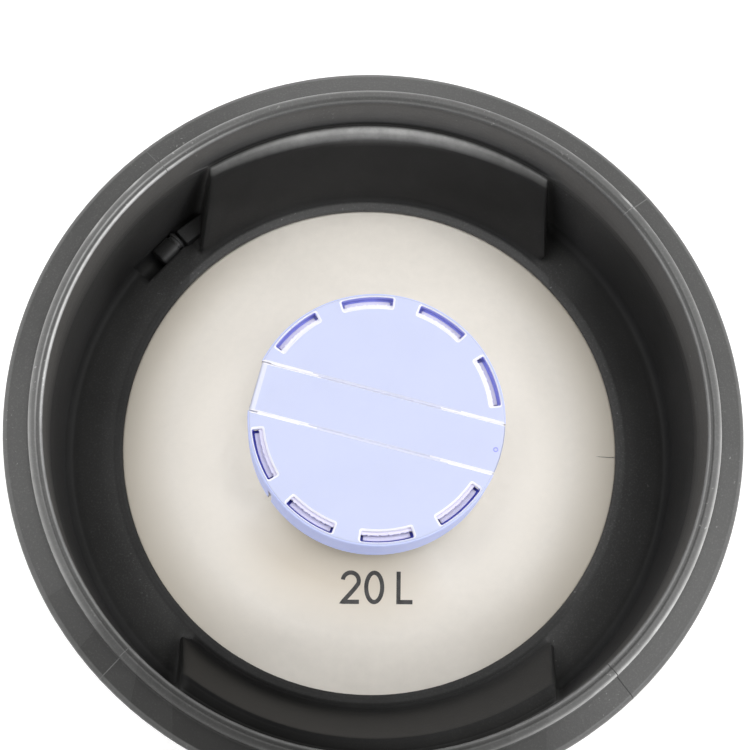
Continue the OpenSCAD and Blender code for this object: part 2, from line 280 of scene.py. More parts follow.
def black_plastic(name, wear, gloss=0.5, deep=1.0):
    """Moulded black plastic: glossy where it is sheltered, grey and grained where "fade" is 1, rubbed pale where "wear"
    is; "fade" and "wear" also carry painted shade and painted highlights, and a factor below 1 darkens the dark tone
    for a painted-shade copy.
    """
    n = Nodes(name)
    cloud = n.noise(22.0, 5.0, 0.6)
    grain = n.noise(1500.0, 3.0, 0.6)
    coarse = n.noise(620.0, 2.0, 0.5)
    dark = n.ramp(cloud, [(0.32, (0.0175 * deep, 0.0174 * deep, 0.017 * deep)), (0.68, (0.0255 * deep, 0.0252 * deep, 0.0247 * deep))])
    if not wear:
        n.link(dark, n.b.inputs["Base Color"])
        n.link(n.range(cloud, 0.3, 0.7, 0.42, 0.52), n.b.inputs["Roughness"])
        n.bump(coarse, 0.08, 0.0001)
        n.set(Specular_IOR_Level=0.08)
        return n.m
    fade = n.attr("fade")
    worn = n.attr("wear")
    pale = n.ramp(cloud, [(0.32, (0.061, 0.0607, 0.0595)), (0.68, (0.076, 0.0756, 0.074))])
    pale = n.mix(n.range(grain, 0.52, 0.74, 0.0, 0.45), pale, (0.145, 0.144, 0.140))
    col = n.mix(fade, dark, pale)
    specks = n.noise(900.0, 1.0, 0.4)
    where = n.noise(48.0, 2.0, 0.5)
    spots = n.math("MULTIPLY", n.range(specks, 0.70, 0.76, 0.0, 1.0), n.range(where, 0.50, 0.62, 0.0, 1.0))
    col = n.mix(n.math("MULTIPLY", spots, n.math("ADD", n.range(fade, 0.5, 1.0, 0.0, 0.3), worn)), col, (0.50, 0.50, 0.49))
    rub = n.noise(140.0, 4.0, 0.7)
    col = n.mix(n.math("MULTIPLY", worn, n.range(rub, 0.35, 0.65, 0.72, 1.0)), col, (0.72, 0.72, 0.71))
    n.link(col, n.b.inputs["Base Color"])
    n.link(n.math("ADD", n.range(cloud, 0.3, 0.7, 0.27, 0.33), n.math("SUBTRACT", n.math("MULTIPLY", fade, 0.18), n.math("MULTIPLY", worn, 0.14))), n.b.inputs["Roughness"])
    n.bump(n.math("MULTIPLY", n.math("ADD", grain, n.math("MULTIPLY", coarse, 0.8)), n.math("ADD", n.math("MULTIPLY", fade, 0.85), 0.15)), 0.25, 0.00025)
    n.set(Specular_IOR_Level=gloss)
    return n.m


def sheet_steel(name, brushed):
    n = Nodes(name)
    cloud = n.noise(9.0, 4.0, 0.55)
    if brushed:
        line = n.noise(1.0, 4.0, 0.65, co=n.around(), stretch=(14.0, 2600.0, 1.0))
        fine = n.noise(1.0, 2.0, 0.5, co=n.around(), stretch=(60.0, 9000.0, 1.0))
    else:
        line = n.noise(330.0, 4.0, 0.65)
        fine = n.noise(1900.0, 2.0, 0.5)
    part = 0.65 if brushed else 0.4
    stops = [(0.34, (0.54, 0.525, 0.495)), (0.66, (0.68, 0.66, 0.625))] if brushed else [(0.34, (0.82, 0.778, 0.708)), (0.66, (0.89, 0.845, 0.772))]
    col = n.ramp(n.math("ADD", n.math("MULTIPLY", cloud, 1 - part), n.math("MULTIPLY", line, part)), stops)
    if not brushed:
        # a brown tinge, partly the steel's own tone and partly painted shade, where the sheet turns down towards the
        # ring at both sides, and a painted shadow of the cap in front of it
        at = n.t.nodes.new("ShaderNodeSeparateXYZ")
        n.link(n.co, at.inputs[0])
        x, y = at.outputs["X"], at.outputs["Y"]
        r = n.math("SQRT", n.math("ADD", n.math("MULTIPLY", x, x), n.math("MULTIPLY", y, y)), 0.0)
        side = n.range(n.math("DIVIDE", n.math("ABSOLUTE", x, 0.0), n.math("ADD", r, 0.001)), 0.35, 0.8, 0.0, 1.0)
        col = n.mix(n.math("MULTIPLY", side, n.range(r, 0.070, 0.0875, 0.0, 1.0)), col, (0.735, 0.675, 0.575))
        # painted shadow of the cap, brown, in front of it
        ahead = n.math("ADD", n.math("MULTIPLY", x, -0.26), n.math("MULTIPLY", y, -0.966))
        ahead = n.range(n.math("DIVIDE", ahead, n.math("ADD", r, 0.001)), 0.72, 0.94, 0.0, 1.0)
        col = n.mix(n.math("MULTIPLY", ahead, n.range(r, 0.052, 0.068, 1.0, 0.0)), col, (0.715, 0.65, 0.55))
    n.link(col, n.b.inputs["Base Color"])
    n.set(Metallic=0.9 if brushed else 0.3, Specular_IOR_Level=0.5)
    n.link(n.range(line, 0.3, 0.7, *((0.26, 0.38) if brushed else (0.52, 0.64))), n.b.inputs["Roughness"])
    n.bump(n.math("ADD", line, n.math("MULTIPLY", fine, 0.5)), 0.10 if brushed else 0.06, 0.0001)
    return n.m


def turned_steel(name, colour, lo, hi, metallic=1.0):
    n = Nodes(name)
    co = n.around()
    line = n.noise(1.0, 3.0, 0.6, co=co, stretch=(8.0, 3200.0, 3200.0))
    cloud = n.noise(60.0, 3.0, 0.5)
    dark = tuple(c * 0.86 for c in colour)
    n.link(n.ramp(cloud, [(0.3, dark), (0.7, colour)]), n.b.inputs["Base Color"])
    n.link(n.range(line, 0.3, 0.7, lo, hi), n.b.inputs["Roughness"])
    n.set(Metallic=metallic)
    n.bump(line, 0.08, 0.0001)
    return n.m


def cap_plastic(name, colour, pale, through=None):
    """Soft lavender plastic; "through" stands for the light that comes through where it is thin."""
    n = Nodes(name)
    cloud = n.noise(45.0, 4.0, 0.55)
    grain = n.noise(1300.0, 2.0, 0.5)
    scratch = n.noise(1.0, 3.0, 0.7, stretch=(40.0, 1500.0, 40.0))
    dark = tuple(c * 0.965 for c in colour)
    col = n.ramp(cloud, [(0.3, dark), (0.7, colour)])
    col = n.mix(n.range(scratch, 0.66, 0.78, 0.0, 0.18), col, pale)
    n.link(col, n.b.inputs["Base Color"])
    n.link(n.range(cloud, 0.3, 0.7, 0.40, 0.50), n.b.inputs["Roughness"])
    n.set(Subsurface_Weight=0.12, Subsurface_Scale=0.004, Specular_IOR_Level=0.35)
    n.b.inputs["Subsurface Radius"].default_value = (0.6, 0.7, 1.0)
    if through:
        n.set(Emission_Color=(*through, 1.0), Emission_Strength=1.0)
    n.bump(grain, 0.05, 0.0001)
    return n.m


def rubber(name):
    n = Nodes(name)
    cloud = n.noise(120.0, 4.0, 0.6)
    grain = n.noise(1800.0, 2.0, 0.5)
    n.link(n.ramp(cloud, [(0.3, (0.014, 0.014, 0.015)), (0.7, (0.022, 0.022, 0.023))]), n.b.inputs["Base Color"])
    n.link(n.range(cloud, 0.3, 0.7, 0.5, 0.65), n.b.inputs["Roughness"])
    n.bump(grain, 0.12, 0.0001)
    return n.m


def ink(name):
    n = Nodes(name)
    cloud = n.noise(420.0, 4.0, 0.65)
    n.link(n.ramp(cloud, [(0.35, (0.035, 0.034, 0.034)), (0.7, (0.075, 0.073, 0.07))]), n.b.inputs["Base Color"])
    n.link(n.range(cloud, 0.3, 0.7, 0.45, 0.6), n.b.inputs["Roughness"])
    return n.m


M_RING = black_plastic("ring_plastic_worn", True)
M_INSIDE = black_plastic("ring_plastic_inside", True, 0.03)
M_RING_B = black_plastic("ring_plastic_worn_b", True, 0.36)
M_RING_C = black_plastic("ring_plastic_worn_c", True, 0.22)
M_RING_D = black_plastic("ring_plastic_worn_d", True, 0.11)
# painted shade: a darker copy of the inside plastic, for the front grip
M_FRONT = black_plastic("ring_plastic_front_painted_shade", True, 0.03, 0.34)
RING_MATS = [M_RING]
# the tag's plastic; its pale flanks and collar are painted highlights
M_TAG = black_plastic("tag_plastic_painted_sheen", True, 0.05)
# painted shade: plain dark plastic with no pale tone, for the channel's cut faces
M_WELL = black_plastic("ring_plastic_channel_shade", False)
RING_MATS += [M_WELL, M_INSIDE, M_RING_B, M_RING_C, M_RING_D, M_FRONT]
M_DOME = sheet_steel("tank_steel_pickled", False)
M_BODY = sheet_steel("tank_steel_brushed", True)
M_FIT = turned_steel("fitting_steel_turned", (0.62, 0.615, 0.60), 0.24, 0.36)
M_WIRE = turned_steel("spring_wire", (0.55, 0.55, 0.55), 0.22, 0.34)
M_BALL = turned_steel("ball_polished", (0.75, 0.75, 0.75), 0.06, 0.10)
M_CAP = cap_plastic("cap_plastic_lavender", (0.530, 0.570, 0.775), (0.64, 0.67, 0.83))
# painted light: the skirt's copy is lighter and bluer than the cap and glows, for its shaded side and the light through
# the thin plastic
M_SKIRT = cap_plastic("cap_plastic_skirt", (0.56, 0.60, 0.86), (0.64, 0.67, 0.90), (0.17, 0.20, 0.37))
M_SOFT = cap_plastic("cap_plastic_thinned", (0.66, 0.68, 0.83), (0.76, 0.77, 0.88))
M_PALE = cap_plastic("cap_plastic_thin", (0.88, 0.88, 0.95), (0.93, 0.93, 0.97))
M_HOOK = cap_plastic("cap_plastic_hook", (0.72, 0.70, 0.86), (0.80, 0.79, 0.90))
# painted shade in the slots and on the far slots' webs; also the gate mark's own blue
M_DEEP = cap_plastic("cap_plastic_deep", (0.34, 0.36, 0.88), (0.44, 0.46, 0.90))
# painted shade on the near slots' webs
M_NAVY = cap_plastic("cap_plastic_shaded", (0.05, 0.06, 0.42), (0.08, 0.09, 0.46))
M_SEAL = rubber("seal_rubber_black")
M_INK = ink("marking_ink")


# ------------------------------------------------------------------ tank
TANK_R, WALL, CROWN, KNUCKLE = 114.0, 1.5, 230.0, 26.0
APEX_U, APEX_L = H - 36.4, 16.0
WELD_U, WELD_L = H - 131.0, 128.0
SKIRT_U, SKIRT_L = H - 117.0, 114.0
KN_X = TANK_R - KNUCKLE
KN_A = math.degrees(math.asin(KN_X / (CROWN - KNUCKLE)))
HEAD_H = CROWN - (CROWN - KNUCKLE) * math.cos(RAD(KN_A))


def head(r_in, o, n_k=18, n_c=26):
    """A head's outline below its apex, from the straight wall in to a radius, pushed out by o."""
    k = arc(KN_X, -HEAD_H, KNUCKLE + o, 0, 90 - KN_A, n_k)
    a1 = math.degrees(math.asin(r_in / (CROWN + o)))
    c = [((CROWN + o) * math.sin(a), (CROWN + o) * math.cos(a) - CROWN) for a in np.radians(np.linspace(KN_A, a1, n_c))[1:]]
    return k + c


def dome_z(r):
    return APEX_U - CROWN + np.sqrt(CROWN ** 2 - np.asarray(r, float) ** 2)


def bump_pts(r, z, h, w, n=15):
    t = np.linspace(-1, 1, n)
    return [(r + h * (1 + math.cos(math.pi * a)) / 2, z + w * a) for a in t]


def tank():
    up = lambda pts: [(r, z + APEX_U) for r, z in pts]
    dn = lambda pts: [(r, APEX_L - z) for r, z in pts]
    snap_u, snap_l = SKIRT_U + 7, SKIRT_L - 7
    # the heads' straight ends are brushed like the body
    ends = lambda v, f: [1 if np.hypot(*np.asarray(v)[list(k), :2].T).mean() > 100 else 0 for k in f]
    outer = [(TANK_R, WELD_U + 0.05)] + bump_pts(TANK_R, snap_u, -1.2, 5, 9) + up(head(36.3, 0))
    inner = [(TANK_R - WALL, WELD_U + 0.05)] + bump_pts(TANK_R - WALL, snap_u, -1.2, 5, 9) + up(head(36.3, -WALL))
    v, f = revolve(outer + inner[::-1], 240)
    o = make("upper_head_shell", v, f, [M_DOME, M_BODY], "keg", index=ends(v, f))
    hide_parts("upper_head")

    outer = [(TANK_R, WELD_L - 0.05)] + bump_pts(TANK_R, snap_l, -1.2, 5, 9)[::-1] + dn(head(0.4, 0))
    inner = [(TANK_R - WALL, WELD_L - 0.05)] + bump_pts(TANK_R - WALL, snap_l, -1.2, 5, 9)[::-1] + dn(head(0.4, -WALL))
    prof = np.array(inner + outer[::-1])
    v, f = revolve(prof, 200)
    o = make("lower_head_shell", v, f, [M_DOME, M_BODY], "keg", index=ends(v, f))
    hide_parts("lower_head")

    span = WELD_U - WELD_L
    zb = (WELD_L + span * 0.2, WELD_L + span * 0.8)
    side = [(TANK_R, WELD_L)] + [(TANK_R + 0.36 * math.sin(math.pi * t), WELD_L + 3.4 * t) for t in np.linspace(0.04, 0.96, 9)] + [(TANK_R, WELD_L + 3.6)]
    side += bump_pts(TANK_R, zb[0], 3.2, 13, 25) + bump_pts(TANK_R, zb[1], 3.2, 13, 25)
    side += [(TANK_R, WELD_U - 3.6)] + [(TANK_R + 0.36 * math.sin(math.pi * t), WELD_U - 3.4 * (1 - t)) for t in np.linspace(0.04, 0.96, 9)] + [(TANK_R, WELD_U)]
    ins = [(TANK_R - WALL, WELD_L)] + bump_pts(TANK_R - WALL, zb[0], 3.2, 13, 25) + bump_pts(TANK_R - WALL, zb[1], 3.2, 13, 25) + [(TANK_R - WALL, WELD_U)]
    v, f = revolve(side + ins[::-1], 240)
    o = make("body_shell_rolled", v, f, [M_BODY], "keg")
    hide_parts("body_shell")

    # long weld of the rolled body, at the back
    prof = [(r, z) for r, z in side if WELD_L + 4 < z < WELD_U - 4]
    prof = resample([(TANK_R, WELD_L + 4)] + prof + [(TANK_R, WELD_U - 4)], 150)
    cols = [(-1.7, -0.05), (-1.2, 0.10), (-0.5, 0.20), (0.3, 0.17), (1.1, 0.10), (1.7, -0.05)]
    v = []
    for w, lift in cols:
        for k, (r, z) in enumerate(prof):
            a = RAD(90) - (w + 0.12 * math.sin(k * 0.9)) / TANK_R
            q = r + lift * (0.85 + 0.15 * math.sin(k * 2.1))
            v.append((q * math.cos(a), q * math.sin(a), z))
    o = make("body_long_weld", v, [q[::-1] for q in grid_faces(len(cols), len(prof), False, False)], [M_BODY], "keg", 60)


tank()


# -------------------------------------------------------------- top ring
def pocket_path(x, limit=None):
    """Section of a hand pocket at distance x from its middle, as 58 (radius, height) points."""
    r, w, rc = 2.5, 54.0, 12.0
    floor = lambda q: max(539.0, float(np.interp(q, [98.64, 112, 116, 124], [552.17, 544.5, 540.5, 536.0])))
    roof = lambda q: float(np.interp(q, [107.8, 115.4, 117.2, 119, 124], [581.5, 581.5, 582.2, 583.0, 583.0]))
    back = lambda z: float(np.interp(z, [545, 555.5, 580, 590], [93.2, 96.9, 105.57, 109.1]))
    e = lambda d: r - math.sqrt(max(0.0, r * r - (r - d) ** 2)) if d < r else 0.0

    def lift(d):
        if x <= w - rc:
            return 0.0
        c = rc + e(d)
        return c - math.sqrt(max(0.0, c * c - (x - (w - rc)) ** 2))
    lo = lambda d: floor(120 - d) - e(d) + lift(d)
    hi = lambda d: roof(120 - d) + e(d) - lift(d)
    if limit is None:
        ds = np.linspace(0, 27, 541)
        round_in = 3.0 - math.sqrt(max(0.0, 9.0 - max(0.0, x - 51.0) ** 2)) if x > 51 else 0.0
        d1 = next((d for d in ds if 120 - d <= back(lo(d)) + round_in), 22.0)
        d2 = next((d for d in ds if 120 - d <= back(hi(d)) + round_in), 14.0)
        wall = lambda z: back(z) + round_in
    else:
        d1 = d2 = limit
        wall = lambda z: 120 - limit
    f1 = min(2.6, d1 * 0.4)
    f2 = min(2.2, d2 * 0.4)
    room = hi(d2) - lo(d1)
    g1, g2 = min(f1, room * 0.3), min(f2, room * 0.3)
    dd = np.concatenate([np.linspace(0, min(r, d1 * 0.5), 8)[:-1], np.linspace(min(r, d1 * 0.5), d1 - f1, 7)])
    pts = [(120 - d, lo(d)) for d in dd]
    p0, p1, p2 = (120 - (d1 - f1), lo(d1 - f1)), (wall(lo(d1)), lo(d1)), (wall(lo(d1) + g1), lo(d1) + g1)
    for t in (0.2, 0.4, 0.6, 0.8, 1.0):
        pts.append(tuple((1 - t) ** 2 * a + 2 * t * (1 - t) * b + t * t * c for a, b, c in zip(p0, p1, p2)))
    z0, z1 = lo(d1) + g1, hi(d2) - g2
    for t in np.linspace(0, 1, 10)[1:-1]:
        z = z0 + (z1 - z0) * t
        pts.append((wall(z), z))
    p0, p1, p2 = (wall(z1), z1), (wall(hi(d2)), hi(d2)), (120 - (d2 - f2), hi(d2 - f2))
    for t in (0.0, 0.2, 0.4, 0.6, 0.8):
        pts.append(tuple((1 - t) ** 2 * a + 2 * t * (1 - t) * b + t * t * c for a, b, c in zip(p0, p1, p2)))
    dd = np.concatenate([np.linspace(0, min(r, d2 * 0.5), 8)[:-1], np.linspace(min(r, d2 * 0.5), d2 - f2, 7)])[::-1]
    pts += [(120 - d, hi(d)) for d in dd]
    head_ = [(120.0, z) for z in np.linspace(533.0, pts[0][1], 7)[:-1]]
    tail_ = [(120.0, z) for z in np.linspace(pts[-1][1], 588.5, 7)[1:]]
    return np.array(head_ + pts + tail_)


PLAIN_WALL = np.column_stack([np.full(58, 120.0), np.linspace(533.0, 588.5, 58)])


TAG_AT, TAG_R, TAG_L, TAG_Z = RAD(137.9), 3.6, 10.4, H - 55.5
TAG_W = TAG_R + 0.15


def spun(v, a):
    """Vertices turned about Z."""
    v = np.asarray(v, float)
    c, s = math.cos(a), math.sin(a)
    return np.column_stack([c * v[:, 0] - s * v[:, 1], s * v[:, 0] + c * v[:, 1], v[:, 2]])


def top_ring():
    s1 = [(114.25, 488.0), (115.4, 488.0), (116.6, 488.0)] + arc(116.6, 490.0, 2.0, -75, -20, 5) + \
        [(118.9, 491.8), (119.3, 493.8), (119.62, 496.6), (119.85, 499.4), (120.0, 503.0), (120.0, 515.0), (120.0, 526.0)]
    s4 = [(120.0, 591.5), (120.0, 594.5)] + arc(117.0, 596.4, 3.0, 0, 70, 9)
    flange = resample([(118.03, 599.22), (111.75, 601.72)], 9)[1:].tolist()
    # radius, height and wear over the rim, with a fine groove and a bead at its inner edge
    rim3 = [(111.4, 601.87, 0.0), (111.14, 602.03, 0.1), (110.97, 602.32, 0.3), (110.9, 602.8, 0.5), (110.84, 603.4, 0.8)] + \
        [(r, z, w) for (r, z), w in zip(arc(109.7, 603.86, 1.14, 5, 90, 7), (1.0, 1.0, 1.0, 0.8, 0.55, 0.3, 0.12))] + \
        [(109.3, 605.0, 0.05), (108.75, 605.0, 0.05), (108.5, 604.98, 0.3), (108.28, 604.9, 0.35), (108.08, 604.6, 0.05), (107.78, 604.42, 0.0), (107.45, 604.5, 0.05),
         (107.14, 604.72, 0.35), (106.9, 604.83, 0.75), (106.66, 604.78, 0.85), (106.46, 604.58, 0.8), (106.33, 604.25, 0.6), (106.29, 603.85, 0.3), (106.38, 603.45, 0.1),
         (106.7, 602.95, 0.0), (107.05, 602.4, 0.0), (107.24, 601.8, 0.0)]
    rim = [(r, z) for r, z, w in rim3]
    band = resample([(107.24, 601.8), (107.3, 596.0), (107.3, 590.0), (107.3, 587.0)], 10)[1:].tolist()
    na = resample([(107.3, 586.4), (107.3, 584.4)], 5)
    nb = resample([(107.3, 584.4), (107.32, 580.0)], 6)[1:]
    nc = resample([(107.32, 580.0), (107.36, 574.0)], 7)[1:]
    nd = resample([(107.36, 574.0), (107.3, 562.0), (107.2, 552.6)], 13)[1:]
    ne = np.array(arc(104.2, 552.0, 3.0, 0, -111.8, 10))[1:]
    nf = resample([(103.086, 549.215), (99, 550.8), (94, 552.6), (90.4, 553.45)], 11)[1:]
    normal = np.concatenate([na, nb, nc, nd, ne, nf])
    ha = resample([(107.3, 586.4), (107.3, 585.6), (107.15, 585.0), (106.7, 584.75)], 5)
    hb = resample([(106.7, 584.75), (106.25, 584.95), (105.6, 585.25), (105.0, 585.36), (103.3, 585.3)], 6)[1:]
    hc = np.array(arc(103.2, 583.4, 1.9, 87, 160, 7))[1:]
    hd = resample([(101.41, 584.05), (95.7, 567.0)], 13)[1:]
    he = resample([(95.7, 567.0), (92.7, 558.0)], 10)[1:]
    hf = resample([(92.7, 558.0), (91.7, 555.2), (91.15, 554.1), (90.4, 553.45)], 11)[1:]
    grip = np.concatenate([ha, hb, hc, hd, he, hf])
    n_a, n_f = len(na), len(nf)
    fade = np.ones(len(normal))
    fade[:n_a] = np.linspace(0, 1, n_a)
    fade[-n_f:] = np.linspace(1, 0, n_f)
    lip = [(89.6, 553.6), (88.9, 553.66)] + arc(88.0, 552.45, 1.18, 70, 205, 9) + [(87.1, 551.75)]
    under = [(r, z + APEX_U) for r, z in head(87.4, 0.25, 12, 8)][::-1] + [(114.25, 505.0)] + bump_pts(114.25, 495.0, -1.1, 4.6, 7)[::-1]

    # columns of half a grip, from its middle to the side of the keg
    cols = []
    for x in np.arange(0, 41, 4.0):
        cols.append(dict(x=x, xi=x, a=1.0, path=pocket_path(x)))
    for b in (14, 28, 42, 54, 64, 72, 79, 85, 90):
        x = 42 + 12 * math.sin(RAD(b))
        cols.append(dict(x=x, xi=x, a=1.0, path=pocket_path(min(x, 53.995))))
    for b in (0, 16, 33, 50, 68):
        x = 54 + 2.5 * (1 - math.cos(RAD(b)))
        cols.append(dict(x=x + 0.004 * (b + 1) / 10, xi=x + 0.05, a=1.0, path=pocket_path(max(x, 54.0), limit=2.5 * (1 - math.sin(RAD(b))))))
    inner = [(57.2, 1.0), (58.6, 0.996), (59.7, 0.98), (60.5, 0.945), (61.05, 0.89), (61.38, 0.81), (61.5, 0.70), (61.53, 0.5), (61.56, 0.3),
             (61.68, 0.19), (62.0, 0.11), (62.55, 0.05), (63.4, 0.015), (64.6, 0.0)]
    for k, (xi, a) in enumerate(inner):
        cols.append(dict(x=56.5 + 0.68 * k, xi=xi, a=a, path=PLAIN_WALL))
    for t in np.linspace(0, 1, 9)[1:]:
        cols.append(dict(t=t, a=0.0, path=PLAIN_WALL))
    for off in np.arange(58, 91, 2.0):
        cols.append(dict(off=off, a=0.0, path=PLAIN_WALL))

    halves = {}
    for c, sx, sy in [(c, sx, sy) for sx in (1, -1) for sy in (1, -1) for c in cols]:
        top, low = {(1, 1): (59.8, 64.6), (-1, 1): (56.8, 63.0), (-1, -1): (61.6, 65.4), (1, -1): (57.6, 63.4)}[sx, sy]
        w = lambda z: np.clip(top + (586.0 - z) * (low - top) / 37.0, top, low) / 61.5
        inside = normal + (grip - normal) * c["a"]
        prof = np.concatenate([s1, c["path"], s4, flange, rim, band, inside, lip, under])
        i0 = len(s1) + 58 + len(s4) + len(flange) + len(rim) + len(band)
        i1 = i0 + len(inside)
        r, z = prof[:, 0], prof[:, 1]
        if "x" in c:
            x = np.full(len(prof), c["x"])
            k = w(z[i0:i1])
            x[i0:i1] = c["x"] + (c["xi"] * k - c["x"]) * fade
            off = np.arcsin(np.clip(x / r, -1, 1))
        elif "t" in c:
            x = np.full(len(prof), 66.4)
            k = w(z[i0:i1])
            x[i0:i1] = 66.4 + (65.4 * k - 66.4) * fade
            base = np.arcsin(np.clip(x / r, -1, 1))
            t = c["t"]
            off = base + (RAD(56.5) - base) * t
        else:
            off = np.full(len(prof), RAD(c["off"]))
        halves.setdefault((sx, sy), []).append((r, z, off))
    rows = len(halves[1, 1][0][0])
    rim0 = len(s1) + 58 + len(s4) + len(flange)
    wear = np.zeros(rows)
    wear[len(s1) + 58 + 4:len(s1) + 58 + len(s4) - 1] = 0.10
    wear[rim0:rim0 + len(rim)] = [w for r, z, w in rim3]
    n_in = len(normal)
    plain = np.interp(np.arange(n_in), [0, 4, 9, 15, 20, 27, 29, 34, 37, 46], [0.62, 0.52, 0.42, 0.34, 0.33, 0.33, 0.10, 0.10, 0.42, 0.50])
    # the rear grip's bright rows along its ledge are a painted highlight
    rear = np.interp(np.arange(n_in), [0, 2, 4, 5, 7, 10, 13, 17, 27, 36, 46], [0.9, 0.3, 0.06, 0.2, 0.55, 0.50, 0.24, 0.12, 0.10, 0.10, 0.2])
    front = np.interp(np.arange(n_in), [0, 2, 4, 46], [0.5, 0.25, 0.14, 0.2])
    # painted light and shade around the ring, in degrees from +X: on the lip and the inside, and painted shade on the
    # flange and rim at the front left
    lip_at = lambda d: np.interp(d, [0, 60, 120, 150, 260, 300, 330, 360], [0.95, 0.9, 0.85, 0.4, 0.25, 0.55, 1.0, 0.95])
    inside_at = lambda d: np.interp(d, [0, 20, 35, 46, 54, 60, 110, 145, 215, 232, 238, 255, 300, 320, 345, 360], [1.25, 0.8, 0.8, 1.6, 1.6, 0.8, 0.8, 1.3, 1.3, 1.3, 0.4, 0.4, 2.3, 1.5, 1.6, 1.25])
    flange_at = lambda d: np.interp(d, [0, 195, 210, 225, 240, 252, 275, 295, 310, 330], [1.0, 1.0, 0.62, 0.42, 0.22, 0.05, 0.2, 0.62, 0.85, 1.0])

    def drawn(d):
        """Rows of the rear ledge, drawn together towards its ends."""
        k = np.arange(n_in, dtype=float)
        return np.where(k > 5, 5 + (k - 5) / (1 - 0.6 * min(1.0, abs(d - 90) / 34) ** 2), k)

    def fade_of(i, sx, sy):
        c = cols[i]
        off = halves[sx, sy][i][2]
        d = math.degrees(math.atan2(sy * math.cos(off[rim0]), sx * math.sin(off[rim0]))) % 360
        outer = np.full(len(s1) + 58, 0.62)
        sunk = 120.0 - c["path"][:, 0]
        outer[len(s1):] -= 0.45 * np.clip(sunk / 6.0, 0, 1)
        shelf = np.interp(drawn(d), np.arange(n_in), rear) if sy > 0 else front
        # painted light: the grips' sides are lightened
        inside = plain + (shelf - plain) * c["a"] + 0.55 * min(c["a"], 1 - c["a"])
        # painted light and shade around the ring
        inside = inside * inside_at(d)
        # painted shade on the wall at the channel's end
        inside = inside * (1 - 0.75 * math.exp(-((d - 146) / 6) ** 2) * np.interp(np.arange(n_in), [10, 22, 34, 40], [0, 1, 1, 0]))
        return np.concatenate([outer, np.linspace(0.7, 1.0, len(s4)) * flange_at(d), np.full(len(flange), flange_at(d)), np.full(len(rim), 0.3 + 0.7 * flange_at(d)), np.linspace(1.0, 0.75, len(band)),
                               inside, np.full(len(lip), lip_at(d)), np.full(len(under), 0.2)])


    # how much each line is rubbed around the ring, in degrees from +X; the fillet's and the bead's strongest stretches
    # are also painted highlights, and the band's is painted light
    fillet_at = lambda d: np.interp(d, [0, 30, 80, 110, 200, 212, 222, 285, 300, 312, 345, 360], [0.62, 0.42, 0.34, 0.48, 0.58, 0.46, 0.10, 0.08, 0.50, 1.0, 0.95, 0.62])
    bead_at = lambda d: np.interp(d, [0, 30, 42, 110, 122, 132, 174, 184, 205, 215, 235, 280, 300, 360], [0.24, 0.20, 0.04, 0.05, 0.35, 1.0, 1.0, 0.45, 0.20, 0.20, 0.14, 0.14, 0.20, 0.24])
    scuff_at = lambda d: sum(h * max(0.0, 1 - abs(d - c) / w) for c, w, h in ((147, 2.6, 0.30), (137, 2.2, 0.35), (41, 2.2, 0.5), (322, 3.0, 0.2)))
    band_at = lambda d: np.interp(d, [0, 15, 45, 110, 150, 180, 345, 360], [0.02, 0.035, 0.045, 0.04, 0.01, 0.0, 0.0, 0.02])
    n_rim0 = rim0 + len(rim) + len(band)

    def wear_of(i, sx, sy):
        r, z, off = halves[sx, sy][i]
        d = math.degrees(math.atan2(sy * math.cos(off[rim0]), sx * math.sin(off[rim0]))) % 360
        out = wear.copy()
        out[rim0:rim0 + 14] *= fillet_at(d)
        out[rim0 + 4:rim0 + 11] += scuff_at(d)
        out[rim0 + 14:rim0 + len(rim)] *= bead_at(d)
        out[rim0 + len(rim):n_rim0] = band_at(d)
        a = cols[i]["a"]
        if sy > 0:
            # painted highlight along the rear grip's ledge
            out[n_rim0:n_rim0 + n_in] = a * np.interp(drawn(d), [4, 5, 6, 7.5, 9, 11, 13, 15, 16.5], [0, 0.5, 1.0, 0.9, 0.5, 0.34, 0.22, 0.1, 0]) * np.interp(abs(d - 90), [0, 14, 24, 34], [1.0, 0.8, 0.5, 0.45])
        # painted light in the creases at the grips' sides, strongest at the front left
        out[n_rim0:n_rim0 + n_in] += min(1.0, 10 * a) * (1 - a) * {(1, 1): 0.3, (-1, 1): 0.8, (-1, -1): 1.1, (1, -1): 0.35}[sx, sy] * np.interp(np.arange(n_in), [0, 6, 18, 36, 46], [0.30, 0.28, 0.17, 0.12, 0.0])
        return np.clip(out, 0, 1)

    order = []
    n = len(cols)
    for sx, sy, seq in ((1, 1, range(n - 1, -1, -1)), (-1, 1, range(1, n)), (-1, -1, range(n - 2, -1, -1)), (1, -1, range(1, n - 1))):
        for i in seq:
            order.append((i, sx, sy))
    v = []
    for i, sx, sy in order:
        r, z, off = halves[sx, sy][i]
        v.append(np.column_stack([sx * r * np.sin(off), sy * r * np.cos(off), z]))
    v = np.concatenate(v)
    f = grid_faces(len(order), rows)
    # painted shade: the flange is darker and less glossy at the front left
    dull, block, edge = [], [], []
    for i, sx, sy in order:
        # painted shade: the front grip takes the darker copy
        block.append(6 if sy < 0 and cols[i]["a"] > 0.7 else 2)
        edge.append(4 if sy > 0 and cols[i]["a"] > 0 else 2)
        off = halves[sx, sy][i][2]
        g = flange_at(math.degrees(math.atan2(sy * math.cos(off[rim0]), sx * math.sin(off[rim0]))) % 360)
        dull.append(0 if g >= 0.66 else 3 if g >= 0.52 else 4 if g >= 0.40 else 5 if g >= 0.28 else 2)
    # gloss goes off in steps below the rim
    def step(k):
        q = k % rows - n_rim0
        if dull[k // rows] == 2 or q >= 8:
            return 2
        return max(dull[k // rows], 3 if q < 0 else 4 if q < 4 else 5)
